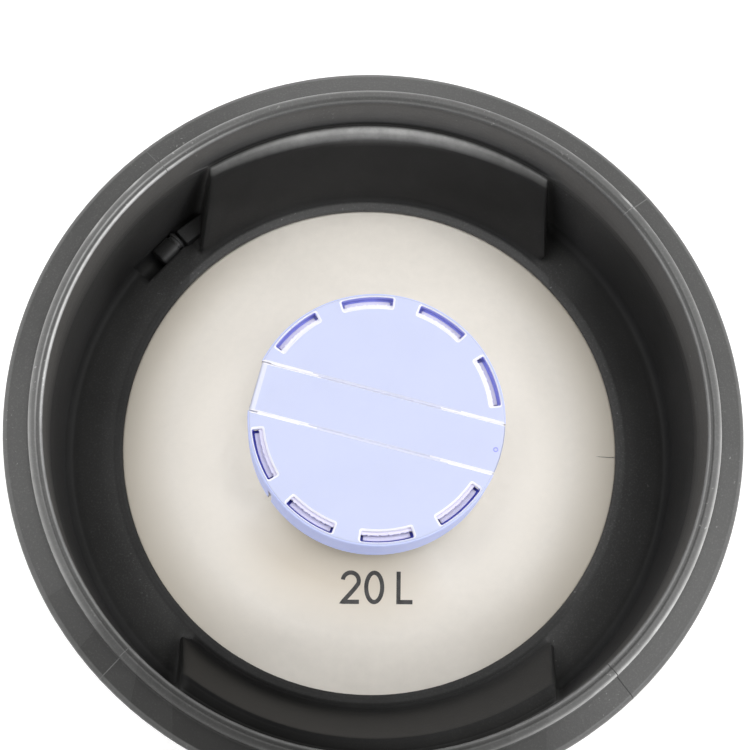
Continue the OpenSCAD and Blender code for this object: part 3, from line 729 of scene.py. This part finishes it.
    # the "wear" and "fade" attributes also carry painted highlights, painted light and painted shade
    o = make("top_ring_moulding", v, f, RING_MATS, "keg", 38,
             index=[block[k // rows] if n_rim0 + 6 <= k % rows < n_rim0 + n_in else edge[k // rows] if n_rim0 + n_in <= k % rows < n_rim0 + n_in + len(lip) else step(k) if n_rim0 - 3 <= k % rows < n_rim0 + n_in else dull[k // rows] if len(s1) + 58 <= k % rows < n_rim0 + 2 else 0 for k in range(len(f))],
             attrs={"wear": np.concatenate([wear_of(*k) for k in order]), "fade": np.concatenate([fade_of(*k) for k in order])})

    # round-bottomed channel beside the rear grip
    u = [(TAG_W * math.cos(t), TAG_W * math.sin(t)) for t in np.radians(np.linspace(180, 360, 17))] + [(TAG_W, 9.0), (-TAG_W, 9.0)]
    pv, pf = prism([[(102.9 + x, y, TAG_Z + q) for x, q in u[::-1]] for y in (-9.6, -3.2, 3.2, 9.6)])
    # the channel's cut faces take the plain dark plastic: painted shade
    cut = make("cut_channel", spun(pv, TAG_AT), pf, RING_MATS, None, index=[1] * len(pf))
    subtract(o, cut)
    o.data.set_sharp_from_angle(angle=RAD(38))
    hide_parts("top_ring")

    # raised block between the grip's side and the channel
    loops = []
    for grow, z in ((0.0, 546.8), (0.0, 554.4), (-0.25, 554.85), (-0.6, 555.0)):
        loops.append(sector_loop(98.4 - grow, 104.6 + grow, RAD(125.4), RAD(132.6) + grow / 103, z, 0.7, 8))
    bv, bf = prism(loops)
    make("top_ring_tag_block", bv, bf, [M_INSIDE], "keg", 30, attrs={"wear": np.where(bv[:, 2] > 554.6, 0.05, 0.0), "fade": np.full(len(bv), 0.1)})

    # mould parting lines over the rim, the flange and the side
    path = np.concatenate([[(119.9, 503.0)], resample([(120, 515), (120, 594.5)], 12), arc(117.0, 596.4, 3.0, 8, 70, 8), flange, rim])
    d = np.gradient(path, axis=0)
    nrm = np.column_stack([d[:, 1], -d[:, 0]])
    nrm /= np.linalg.norm(nrm, axis=1)[:, None]
    parts = []
    rub, tone = [], []
    for at, worn, faded in ((39.7, 0.18, 0.9), (131, 0.07, 0.9), (224.5, 0.10, 0.5), (311.7, 0.0, 0.1)):
        vv = []
        for side, lift in ((-0.22, -0.06), (-0.08, 0.07), (0.08, 0.07), (0.22, -0.06)):
            q = path + nrm * lift
            a = RAD(at) + side / q[:, 0]
            vv.append(np.column_stack([q[:, 0] * np.cos(a), q[:, 0] * np.sin(a), q[:, 1]]))
        rub.append(np.full(4 * len(path), worn))
        tone.append(np.full(4 * len(path), faded))
        parts.append((np.concatenate(vv), grid_faces(4, len(path), False, False)))
    sv, sf = joined(parts)
    make("top_ring_parting_lines", sv, sf, [M_RING], "keg", 60, attrs={"wear": np.concatenate(rub), "fade": np.concatenate(tone)})


top_ring()


def tag():
    """Transponder capsule with a domed end and a moulded step, lying at one end of its channel."""
    r, l = TAG_R, TAG_L
    prof = [(0.02, -l / 2)] + arc(r - 1, 1 - l / 2, 1, -90, 0, 8) + [(r, l / 2 - 3.0), (r - 0.12, l / 2 - 2.9), (r - 0.55, l / 2 - 2.75), (r - 0.55, l / 2 - 1.5), (r - 0.1, l / 2 - 1.35), (r, l / 2 - 1.25)] + \
        arc(r - 0.6, l / 2 - 0.6, 0.6, 0, 90, 6) + [(0.02, l / 2)]
    v, f = revolve(prof, 64)
    # the profile's height runs along the channel, towards the grip
    v = np.column_stack([102.9 + v[:, 0], -(v[:, 2] + 9.6 - l / 2 - 0.3), TAG_Z + v[:, 1]])
    # painted highlights along both flanks and round its collar
    side = np.degrees(np.arctan2(v[:, 0] - 102.9, v[:, 2] - TAG_Z))
    along = np.clip((v[:, 1] + 9.3) / l, 0, 1)
    flank = np.interp(along, [0.1, 0.25, 0.8, 0.95], [0.3, 1.0, 1.0, 0.4])
    rub = flank * (0.10 * np.exp(-((side - 58) / 13) ** 2) + 0.16 * np.exp(-((side + 42) / 15) ** 2)) + 0.10 * np.exp(-((along - 0.12) / 0.06) ** 2) * (np.abs(side) < 80)
    o = make("tag_capsule_body", spun(v, TAG_AT), f, [M_TAG], "keg", 30, attrs={"wear": rub, "fade": np.full(len(v), 0.1)})
    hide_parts("tag_capsule")


tag()


# ----------------------------------------------------------- bottom ring
def bottom_ring():
    foot = [(112.0, 0.6), (112.25, 0.2), (112.6, 0.0), (114.2, 0.0), (116.0, 0.0), (117.6, 0.0)] + arc(117.6, 2.4, 2.4, -80, 0, 7)
    n_foot = len(foot)
    side = resample([(120, 6), (120, 96)], 12).tolist() + [(119.85, 102.6), (119.62, 105.4), (119.3, 108.2), (118.9, 110.2)] + \
        arc(116.6, 112.0, 2.0, 20, 75, 5) + [(116.6, 114.0), (115.4, 114.0), (114.25, 114.0)]
    inner = bump_pts(114.25, 107.0, -1.1, 4.6, 7)[::-1] + [(114.25, 90.0)] + [(r, APEX_L - z) for r, z in head(88.0, 0.25, 12, 8)]
    lip = arc(88.6, APEX_L + HEAD_H - 30.15, 1.5, 140, 270, 8) + resample([(90, 30.25), (95, 30.05), (102, 30.8)], 6).tolist() + \
        [(104.6, 30.0), (106.4, 28.2), (107.5, 25.8), (108.0, 22.6), (108.0, 16.0), (108.0, 8.0), (108.15, 7.0), (108.6, 6.2), (109.4, 5.7),
         (110.6, 5.6), (111.3, 5.5), (111.8, 5.1), (112.0, 4.4), (112.0, 2.0)]
    prof = np.array(foot + side + inner + lip)
    notch = [(-6.2, 0.0), (-5.2, 0.03), (-4.9, 0.12), (-4.7, 0.3), (-4.56, 0.6), (-4.45, 0.85), (-4.3, 0.97), (-4.0, 1.0)]
    notch = notch + [(0.0, 1.0)] + [(-a, s) for a, s in notch[::-1]]
    cols = []
    for q in range(4):
        mid = 45 + 90 * q
        cols += [(mid + a, s) for a, s in notch]
        cols += [(mid + a, 0.0) for a in np.arange(8, 84, 2.0)]
    v = []
    for a, s in cols:
        r, z = prof[:, 0], prof[:, 1].copy()
        low = (z < 3.2 * s) & (r > 110)
        z[low] = np.maximum(z[low], 3.2 * s - 0.05 * (r[low] < 112.1))
        t = RAD(a)
        v.append(np.column_stack([r * math.cos(t), r * math.sin(t), z]))
    wear = np.zeros(len(prof))
    wear[1:n_foot] = 0.8
    wear[n_foot + 16:n_foot + 22] = 0.15
    fade = np.concatenate([np.full(n_foot + len(side), 0.62), np.full(len(inner), 0.2), np.full(len(lip), 0.25)])
    v = np.concatenate(v)
    o = make("bottom_ring_moulding", v, grid_faces(len(cols), len(prof)), [M_RING], "keg", 38, attrs={"wear": np.tile(wear, len(cols)), "fade": np.tile(fade, len(cols))})
    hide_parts("bottom_ring")
    path = np.concatenate([arc(117.6, 2.4, 2.4, -40, 0, 5), resample([(120, 6), (120, 96)], 12), [(119.85, 102.6)]])
    d = np.gradient(path, axis=0)
    nrm = np.column_stack([d[:, 1], -d[:, 0]])
    nrm /= np.linalg.norm(nrm, axis=1)[:, None]
    parts = []
    for at in (0, 90, 180, 270):
        vv = []
        for sd, lift in ((-0.22, -0.06), (-0.08, 0.07), (0.08, 0.07), (0.22, -0.06)):
            q = path + nrm * lift
            a = RAD(at) + sd / q[:, 0]
            vv.append(np.column_stack([q[:, 0] * np.cos(a), q[:, 0] * np.sin(a), q[:, 1]]))
        parts.append((np.concatenate(vv), grid_faces(4, len(path), False, False)))
    sv, sf = joined(parts)
    make("bottom_ring_parting_lines", sv, sf, [M_RING], "keg", 60, attrs={"wear": np.full(len(sv), 0.16), "fade": np.full(len(sv), 0.7)})


bottom_ring()


# -------------------------------------------------------------- dust cap
TURN = RAD(-14.4)
CAP_R, CAP_Z = 42.1, H - 9.7
BAND = 8.6
CAP_MATS = [M_CAP, M_PALE, M_DEEP, M_SOFT, M_SKIRT]
SLOTS = [s * a for a in (33, 71, 109, 147) for s in (1, -1)]


def turned(v):
    v = np.asarray(v, float)
    c, s = math.cos(TURN), math.sin(TURN)
    return np.column_stack([c * v[:, 0] - s * v[:, 1], s * v[:, 0] + c * v[:, 1], v[:, 2]])


def box(x0, y0, z0, x1, y1, z1):
    v = [(x0, y0, z0), (x1, y0, z0), (x1, y1, z0), (x0, y1, z0), (x0, y0, z1), (x1, y0, z1), (x1, y1, z1), (x0, y1, z1)]
    return np.array(v), [(3, 2, 1, 0), (4, 5, 6, 7), (0, 1, 5, 4), (1, 2, 6, 5), (2, 3, 7, 6), (3, 0, 4, 7)]


def dust_cap():
    z = CAP_Z
    prof = [(0.01, z - 2.1), (20, z - 2.1), (39.6, z - 2.1)] + arc(39.6, z - 2.9, 0.8, 90, 0, 5)[1:] + \
        [(40.4, z - 8), (40.4, z - 19.2), (40.6, z - 19.8), (41.0, z - 20.0), (41.9, z - 20.0), (42.3, z - 19.7), (42.4, z - 19.2), (42.4, z - 17.6), (42.3, z - 17.1), (42.15, z - 16.8),
         (42.1, z - 16), (42.1, z - 8), (42.1, z - 1.4)] + arc(41.0, z - 1.1, 1.1, 0, 90, 8) + [(39, z), (20, z), (0.01, z)]
    v, f = revolve(prof, 288)
    rows = len(prof)
    # the skirt's faces take the lighter, glowing copy: painted light
    side = [j for j in range(rows) if prof[j][0] > 41.6 and prof[(j + 1) % rows][0] > 41.6]
    o = make("dust_cap_body", turned(v), f, CAP_MATS, "cap", 28, index=[4 if k % rows in side else 0 for k in range(len(f))])
    parts, tint = [], []
    for at in SLOTS:
        a0, a1 = RAD(at - 12.4), RAD(at + 12.4)
        loops = []
        for grow, dz in ((0.0, -4.0), (0.0, -0.5), (0.26, -0.26), (0.7, 0.02), (1.1, 0.3)):
            loops.append(sector_loop(37.35 - grow, 40.85 + grow * 0.45, a0 - grow / 39, a1 + grow / 39, z + dz, 0.55 + grow * 0.5, 12))
        parts.append(prism(loops))
        # painted shade on the wall on the skirt's side, which is blue, and painted light on the rest of the slot, which
        # is pale
        m = len(loops[0])
        tint += [2 if k < m and (k < 15 or k > m - 5) else 1 for k in range(len(parts[-1][1]))]
    cv, cf = joined(parts)
    subtract(o, make("cut_slots", turned(cv), cf, CAP_MATS, None, index=tint))
    # way of the tear band with chamfered edges, and of its tab
    ends = (-50.0, -24.0, -14.0, 16.0, 26.0, 50.0)
    g = [(x, -BAND) for x in ends] + [(x, BAND) for x in ends[::-1]]
    loops = []
    for grow, dz in ((0.0, -2.6), (0.0, -0.5), (0.55, 0.02), (1.1, 0.52)):
        loops.append([(x, y + math.copysign(grow, y), z + dz) for x, y in g])
    wv, wf = prism(loops)
    subtract(o, make("cut_way", turned(wv), wf, CAP_MATS, None,
                     index=[3 if k % 12 in (1, 2, 3, 7, 8, 9) else 1 for k in range(len(wf))]))
    tv, tf = box(-47.0, -BAND, z - 14.0, -38.2, BAND, z + 1.5)
    subtract(o, make("cut_tab", turned(tv), tf, CAP_MATS, None))
    parts = []
    for at in (131, -131):
        bv, bf = box(39.1, -0.9, z - 21.5, 45.1, 0.9, z - 7.0)
        c, s = math.cos(RAD(at)), math.sin(RAD(at))
        parts.append((np.column_stack([c * bv[:, 0] - s * bv[:, 1], s * bv[:, 0] + c * bv[:, 1], bv[:, 2]]), bf))
    sv, sf = joined(parts)
    subtract(o, make("cut_slits", turned(sv), sf, CAP_MATS, None, index=[1] * len(sf)))
    o.data.set_sharp_from_angle(angle=RAD(28))
    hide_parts("dust_cap")

    # hook tongues under the slots
    parts = []
    for at in SLOTS:
        a0, a1 = RAD(at - 11.2), RAD(at + 11.2)
        loops = [sector_loop(38.7, 39.3, a0, a1, z - 11.6, 0.2, 10), sector_loop(38.35, 39.7, a0, a1, z - 10.4, 0.3, 10),
                 sector_loop(38.35, 39.7, a0, a1, z - 5.0, 0.3, 10), sector_loop(38.35, 40.15, a0, a1, z - 4.5, 0.3, 10),
                 sector_loop(38.35, 40.15, a0, a1, z - 3.4, 0.3, 10), sector_loop(38.45, 40.05, a0 + 0.003, a1 - 0.003, z - 3.2, 0.25, 10)]
        parts.append(prism(loops))
        for e in (-9.1, 9.1):
            b0, b1 = RAD(at + e - 0.7), RAD(at + e + 0.7)
            parts.append(prism([sector_loop(39.2, 40.9, b0, b1, z - 11.2, 0.2, 4), sector_loop(39.2, 40.9, b0, b1, z - 8.8, 0.2, 4)]))
    hv, hf = joined(parts)
    make("dust_cap_hooks", turned(hv), hf, [M_HOOK], "cap", 30)

    # painted shade: a blue web between tongue and skirt, darker at the near slots; and ragged flash along the slot's
    # inner edge
    webs, flash = [], []
    for n, at in enumerate(SLOTS):
        a0, a1 = RAD(at - 12.6), RAD(at + 12.6)
        webs.append(prism([sector_loop(38.5, 41.2, a0, a1, z - 4.3, 0.2, 10), sector_loop(38.5, 41.2, a0, a1, z - 3.7, 0.2, 10)]))
        t = np.linspace(a0, a1, 40)
        edge = 38.6 + 0.16 * np.sin(t * 71 + n) * np.sin(t * 173 + 2 * n) + 0.10 * np.sin(t * 389 + n)
        loops = [[(r * math.cos(q), r * math.sin(q), z + dz) for q, r in zip(t, edge - cut)] + [(37.1 * math.cos(q), 37.1 * math.sin(q), z + dz) for q in t[::-1]]
                 for dz, cut in ((-2.0, 0.1), (-1.75, 0.0), (-1.5, 0.15))]
        flash.append(prism(loops))
    # the near slots' webs take the shaded copy: painted shade
    near = [math.sin(RAD(at) + TURN) < 0 for at in SLOTS]
    for name, parts, mats, angle in (("dust_cap_slot_shade_webs", webs, [M_DEEP, M_NAVY], 30), ("dust_cap_slot_flash", flash, [M_PALE, M_HOOK], 40)):
        v, f = joined(parts)
        make(name, turned(v), f, mats, "cap", angle, index=[int(q) for q in near for _ in range(len(f) // len(near))])

    # thin torn webs left along both sides of the band's way
    parts = []
    for s in (1, -1):
        n = 60
        xs = np.linspace(-38.0, 40.6, n)
        rows = []
        for y, dz in ((BAND + 0.3, -1.7), (BAND - 0.26, -1.5), (BAND - 0.28, -0.44), (BAND + 0.3, -0.34)):
            rows.append([(x, s * (y + (0.05 * math.sin(x * 3.1 + s) if y < BAND else 0.0)), z + dz) for x in xs])
        v = np.concatenate(rows)
        f = grid_faces(4, n, True, False)
        parts.append((v, f if s < 0 else [q[::-1] for q in f]))
    wv, wf = joined(parts)
    o = make("dust_cap_webs", turned(wv), wf, [M_PALE, M_SOFT], "cap", 40)
    for p in o.data.polygons:
        p.material_index = 1 if -0.019 < p.center.x < 0.021 else 0


dust_cap()


def tear_band():
    z = CAP_Z
    b = BAND - 0.3
    ys = [-b, -b + 0.16, -b + 0.5, -b + 0.9] + np.linspace(-b + 2.2, b - 2.2, 11).tolist() + [b - 0.9, b - 0.5, b - 0.16, b]
    v = []
    for y in ys:
        e = abs(y)
        drop = float(np.interp(e, [b - 0.5, b - 0.16, b], [0.0, 0.28, 0.5]))
        end = math.sqrt((CAP_R - 0.1) ** 2 - y * y)
        top = z - 0.1 - drop
        low = z - 1.95
        x0 = -CAP_R + 1.1
        dip = lambda x: 0.28 * math.exp(-((x + 37.0) / 3.2) ** 2)
        p = [(x0 + 1.7, z - 11.4), (x0 + 1.7, z - 13.0), (x0 - 0.9, z - 13.0), (x0 - 0.9, z - 11.9), (x0 - 0.6, z - 11.4), (x0, z - 10.8), (x0, z - 6.0), (x0, z - 1.6)]
        p += [(x0 + 1.1 - 1.1 * math.cos(t), top - 1.1 + 1.1 * math.sin(t)) for t in np.radians([18, 36, 54, 72, 90])]
        p += [(x, top - dip(x)) for x in np.linspace(x0 + 2.0, -30, 9)]
        p += [(x, top) for x in np.linspace(-26, end - 1.2, 14)]
        p += [(end - 0.8 + 0.8 * math.sin(t), top - 0.8 + 0.8 * math.cos(t)) for t in np.radians([30, 60, 90])]
        p += [(end, low)]
        p += [(x, low) for x in np.linspace(end - 2, x0 + 2.6, 12)]
        p += [(x0 + 1.9, low - 0.2), (x0 + 1.7, low - 0.9), (x0 + 1.7, z - 7.0)]
        v.append([(x, y, q) for x, q in p])
    m = len(v[0])
    v = np.array(v).reshape(-1, 3)
    f = grid_faces(len(ys), m, False, True)
    f.append(tuple(range(m)))
    f.append(tuple((len(ys) - 1) * m + j for j in range(m - 1, -1, -1)))
    o = make("tear_band_strip", turned(v), [q[::-1] for q in f], [M_CAP, M_PALE, M_SOFT], "band", 30)
    # paler plastic where it thins, along both edges and over the rolled end
    me = o.data
    c, s = math.cos(-TURN), math.sin(-TURN)
    for p in me.polygons:
        x, y = p.center.x / MM, p.center.y / MM
        u, w = c * x - s * y, s * x + c * y
        if abs(w) > b - 0.52:
            p.material_index = 2 if -19 < u < 21 else 1
        elif u < -CAP_R + 3.4 and p.center.z / MM > z - 1.7:
            p.material_index = 2
    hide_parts("tear_band")
    # moulding gate mark near the fixed end
    t = np.linspace(0, 2 * np.pi, 32, endpoint=False)
    q = np.linspace(0, 2 * np.pi, 10, endpoint=False)
    gv = [((0.66 + 0.17 * math.cos(k)) * math.cos(a) + 39.9, (0.66 + 0.17 * math.cos(k)) * math.sin(a) - 0.5, z - 0.1 + 0.14 * math.sin(k)) for a in t for k in q]
    make("tear_band_gate_mark", turned(gv), grid_faces(32, 10), [M_DEEP], "band", 40)


tear_band()


# --------------------------------------------------------------- springs
def coil(name, r, wire, z0, z1, turns, body, node):
    steps, sides = 40, 14
    n = int(turns * steps)
    w = wire / 2
    lo, hi = z0 + w, z1 - w
    lead = (hi - lo - 2 * wire) / (turns - 2)
    v = []
    for i in range(n + 1):
        t = i / steps
        zc = lo + wire * t if t < 1 else hi - wire * (turns - t) if t > turns - 1 else lo + wire + lead * (t - 1)
        a = 2 * math.pi * t
        taper = 0.75 if i in (0, n) else 1.0
        for j in range(sides):
            b = 2 * math.pi * j / sides
            q = r + w * taper * math.cos(b)
            v.append((q * math.cos(a), q * math.sin(a), zc + w * taper * math.sin(b)))
    f = grid_faces(n + 1, sides, False, True)
    f = f + [tuple(range(sides - 1, -1, -1)), tuple(n * sides + j for j in range(sides))]
    o = make(name, v, f, [M_WIRE], body, 40)
    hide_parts(node)
    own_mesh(o)


NECK = H - 12.0
coil("main_spring_coil", 15.6, 2.4, NECK - 70.95, NECK - 26.6, 7, "keg", "main_spring")
coil("ball_spring_coil", 4.2, 0.9, NECK - 42.35, NECK - 33.85, 5, "gas_valve", "ball_spring")

# carried-over pieces of the valve
for node, m in (("neck", M_FIT), ("spear_body", M_FIT), ("lock_ring", M_WIRE), ("safety_latch", M_WIRE), ("spring_basket", M_FIT), ("tube_head", M_FIT),
                ("down_tube", M_FIT), ("ball_cage", M_FIT), ("beer_ball", M_BALL), ("gas_seal", M_SEAL), ("body_gasket", M_SEAL)):
    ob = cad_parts[node]
    ob.data.materials.clear()
    ob.data.materials.append(m)


# --------------------------------------------------------------- marking
def strokes():
    """Content mark in plain strokes, laid on the dome."""
    def ell(cx, cy, rx, ry, a0, a1, n):
        return [(cx + rx * math.cos(RAD(a)), cy + ry * math.sin(RAD(a))) for a in np.linspace(a0, a1, n)]
    two = ell(3.2, 7.75, 2.75, 2.75, 172, -22, 30) + [(4.6, 5.2), (2.7, 3.1), (1.0, 1.3), (0.45, 0.7), (6.1, 0.7)]
    zero = ell(3.3, 5.55, 2.75, 4.9, 0, 360, 60)
    ell_ = [(0.7, 10.9), (0.7, 0.7), (5.6, 0.7)]
    out = []
    for path, dx, closed in ((two, 0.0, False), (zero, 8.0, True), (ell_, 19.0, False)):
        p = np.array(path) + (dx, 0)
        d = np.concatenate([[0], np.cumsum(np.hypot(*np.diff(p, axis=0).T))])
        s = np.unique(np.concatenate([d, np.linspace(0, d[-1], int(d[-1] / 0.45))]))
        q = np.column_stack([np.interp(s, d, p[:, 0]), np.interp(s, d, p[:, 1])])
        t0 = np.diff(q, axis=0)
        t0 /= np.linalg.norm(t0, axis=1)[:, None]
        n0 = np.column_stack([-t0[:, 1], t0[:, 0]])
        na = np.concatenate([n0[:1], n0])
        nb = np.concatenate([n0, n0[-1:]])
        if closed:
            na[0] = nb[-1] = n0[-1]
            nb[-1] = n0[0]
        mid = na + nb
        mid /= np.linalg.norm(mid, axis=1)[:, None]
        scale = 1 / np.maximum(0.55, (mid * na).sum(1))
        rows = [q + mid * (scale * w)[:, None] for w in (-0.72, 0.0, 0.72)]
        out.append((np.concatenate(rows), grid_faces(3, len(q), False, False)))
    vs, fs, base = [], [], 0
    for v, f in out:
        vs.append(v)
        fs += [tuple(base + i for i in k) for k in f]
        base += len(v)
    v = np.concatenate(vs)
    v = (v - (12.3, 5.5)) * 0.98 + (1.6, -51.7)
    z = dome_z(np.hypot(v[:, 0], v[:, 1])) + 0.03
    make("content_mark", np.column_stack([v, z]), [k[::-1] for k in fs], [M_INK], "keg", 60)


strokes()


def scribe():
    """Short scribed line across the head's right edge."""
    x = np.linspace(79.4, 88.2, 24)
    w = 0.12 * np.sqrt(np.clip((x - 79.3) / 3.0, 0.05, 1.0))
    y = -4.3 + 0.004 * (x - 79.4) ** 2
    v = np.concatenate([np.column_stack([x, y + k * w]) for k in (-1, 0, 1)])
    v = np.column_stack([v, dome_z(np.hypot(v[:, 0], v[:, 1])) + 0.03])
    make("upper_head_scribe", v, [k[::-1] for k in grid_faces(3, len(x), False, False)], [M_FIT], "keg", 60)


scribe()


# ----------------------------------------------------- floor, light, lens
def studio():
    n = Nodes("floor_pale")
    n.link(n.ramp(n.noise(3.0, 3.0, 0.5), [(0.3, (0.90, 0.90, 0.895)), (0.7, (0.915, 0.915, 0.91))]), n.b.inputs["Base Color"])
    n.set(Roughness=0.9, Specular_IOR_Level=0.1, Emission_Color=(1.0, 1.0, 1.0, 1.0), Emission_Strength=0.385)
    me = bpy.data.meshes.new("floor")
    s = 6.0
    me.from_pydata([(-s, -s, -0.0002), (s, -s, -0.0002), (s, s, -0.0002), (-s, s, -0.0002)], [], [(0, 1, 2, 3)])
    me.materials.append(n.m)
    floor = bpy.data.objects.new("floor", me)
    scene.collection.objects.link(floor)
    # low pale wall far behind, so that low views end in it
    n = Nodes("backdrop_pale")
    n.link(n.ramp(n.noise(1.0, 3.0, 0.5), [(0.3, (0.88, 0.88, 0.875)), (0.7, (0.90, 0.90, 0.895))]), n.b.inputs["Base Color"])
    n.set(Roughness=0.9, Specular_IOR_Level=0.1, Emission_Color=(1.0, 1.0, 1.0, 1.0), Emission_Strength=0.42)
    t = np.linspace(0, 2 * np.pi, 96, endpoint=False)
    rows = [(5.5, -0.0001), (5.62, 0.02), (5.72, 0.10), (5.75, 0.25), (5.75, 1.9)]
    me = bpy.data.meshes.new("backdrop")
    me.from_pydata([(r * math.cos(a), r * math.sin(a), z) for a in t for r, z in rows], [], grid_faces(96, len(rows), True, False))
    me.materials.append(n.m)
    me.shade_smooth()
    wall = bpy.data.objects.new("backdrop", me)
    scene.collection.objects.link(wall)

    world = bpy.data.worlds.new("studio")
    world.use_nodes = True
    bg = world.node_tree.nodes["Background"]
    bg.inputs["Color"].default_value = (1.0, 0.99, 0.975, 1.0)
    bg.inputs["Strength"].default_value = 0.02
    scene.world = world

    def area(name, at, to, size, power, colour=(1, 1, 1)):
        light = bpy.data.lights.new(name, "AREA")
        light.shape = "DISK"
        light.size = size
        light.energy = power
        light.color = colour
        o = bpy.data.objects.new(name, light)
        o.location = at
        o.rotation_euler = (Vector(to) - Vector(at)).to_track_quat("-Z", "Y").to_euler()
        scene.collection.objects.link(o)
    boxes = ((0, 42, 0.9, 9.6), (135, 65, 0.9, 9.2), (45, 65, 0.9, 9.2), (90, 20, 0.9, 7.6), (0, 65, 0.9, 6.6), (180, 65, 0.9, 6.4), (315, 20, 0.9, 2.6),
             (180, 42, 0.9, 5.4), (225, 20, 0.9, 2.6), (328, 30, 0.4, 6.4), (225, 42, 0.9, 3.0), (45, 42, 0.9, 0.8), (270, 42, 0.9, 4.5))
    for k, (az, el, size, power) in enumerate(boxes):
        a, e = RAD(az), RAD(el)
        area(f"softbox_{k}", (2 * math.cos(e) * math.cos(a), 2 * math.cos(e) * math.sin(a), 0.58 + 2 * math.sin(e)), (0, 0, 0.58), size, power)

    cam = bpy.data.cameras.new("camera")
    cam.sensor_width = 36.0
    cam.lens = 71.86
    cam.clip_start = 0.01
    cam.clip_end = 50.0
    at = Vector((-24.1, -106.4, 464.7 + H)) * MM
    fwd = (Vector((-1.2, 11.6, H)) * MM - at).normalized()
    right = fwd.cross(Vector((0, 1, 0))).normalized()
    up = right.cross(fwd)
    o = bpy.data.objects.new("camera", cam)
    m = Matrix((right, up, -fwd)).transposed().to_4x4()
    m.translation = at
    o.matrix_world = m
    scene.collection.objects.link(o)
    scene.camera = o
    scene.view_settings.view_transform = "Standard"
    scene.view_settings.look = "None"


studio()

bpy.context.view_layer.update()
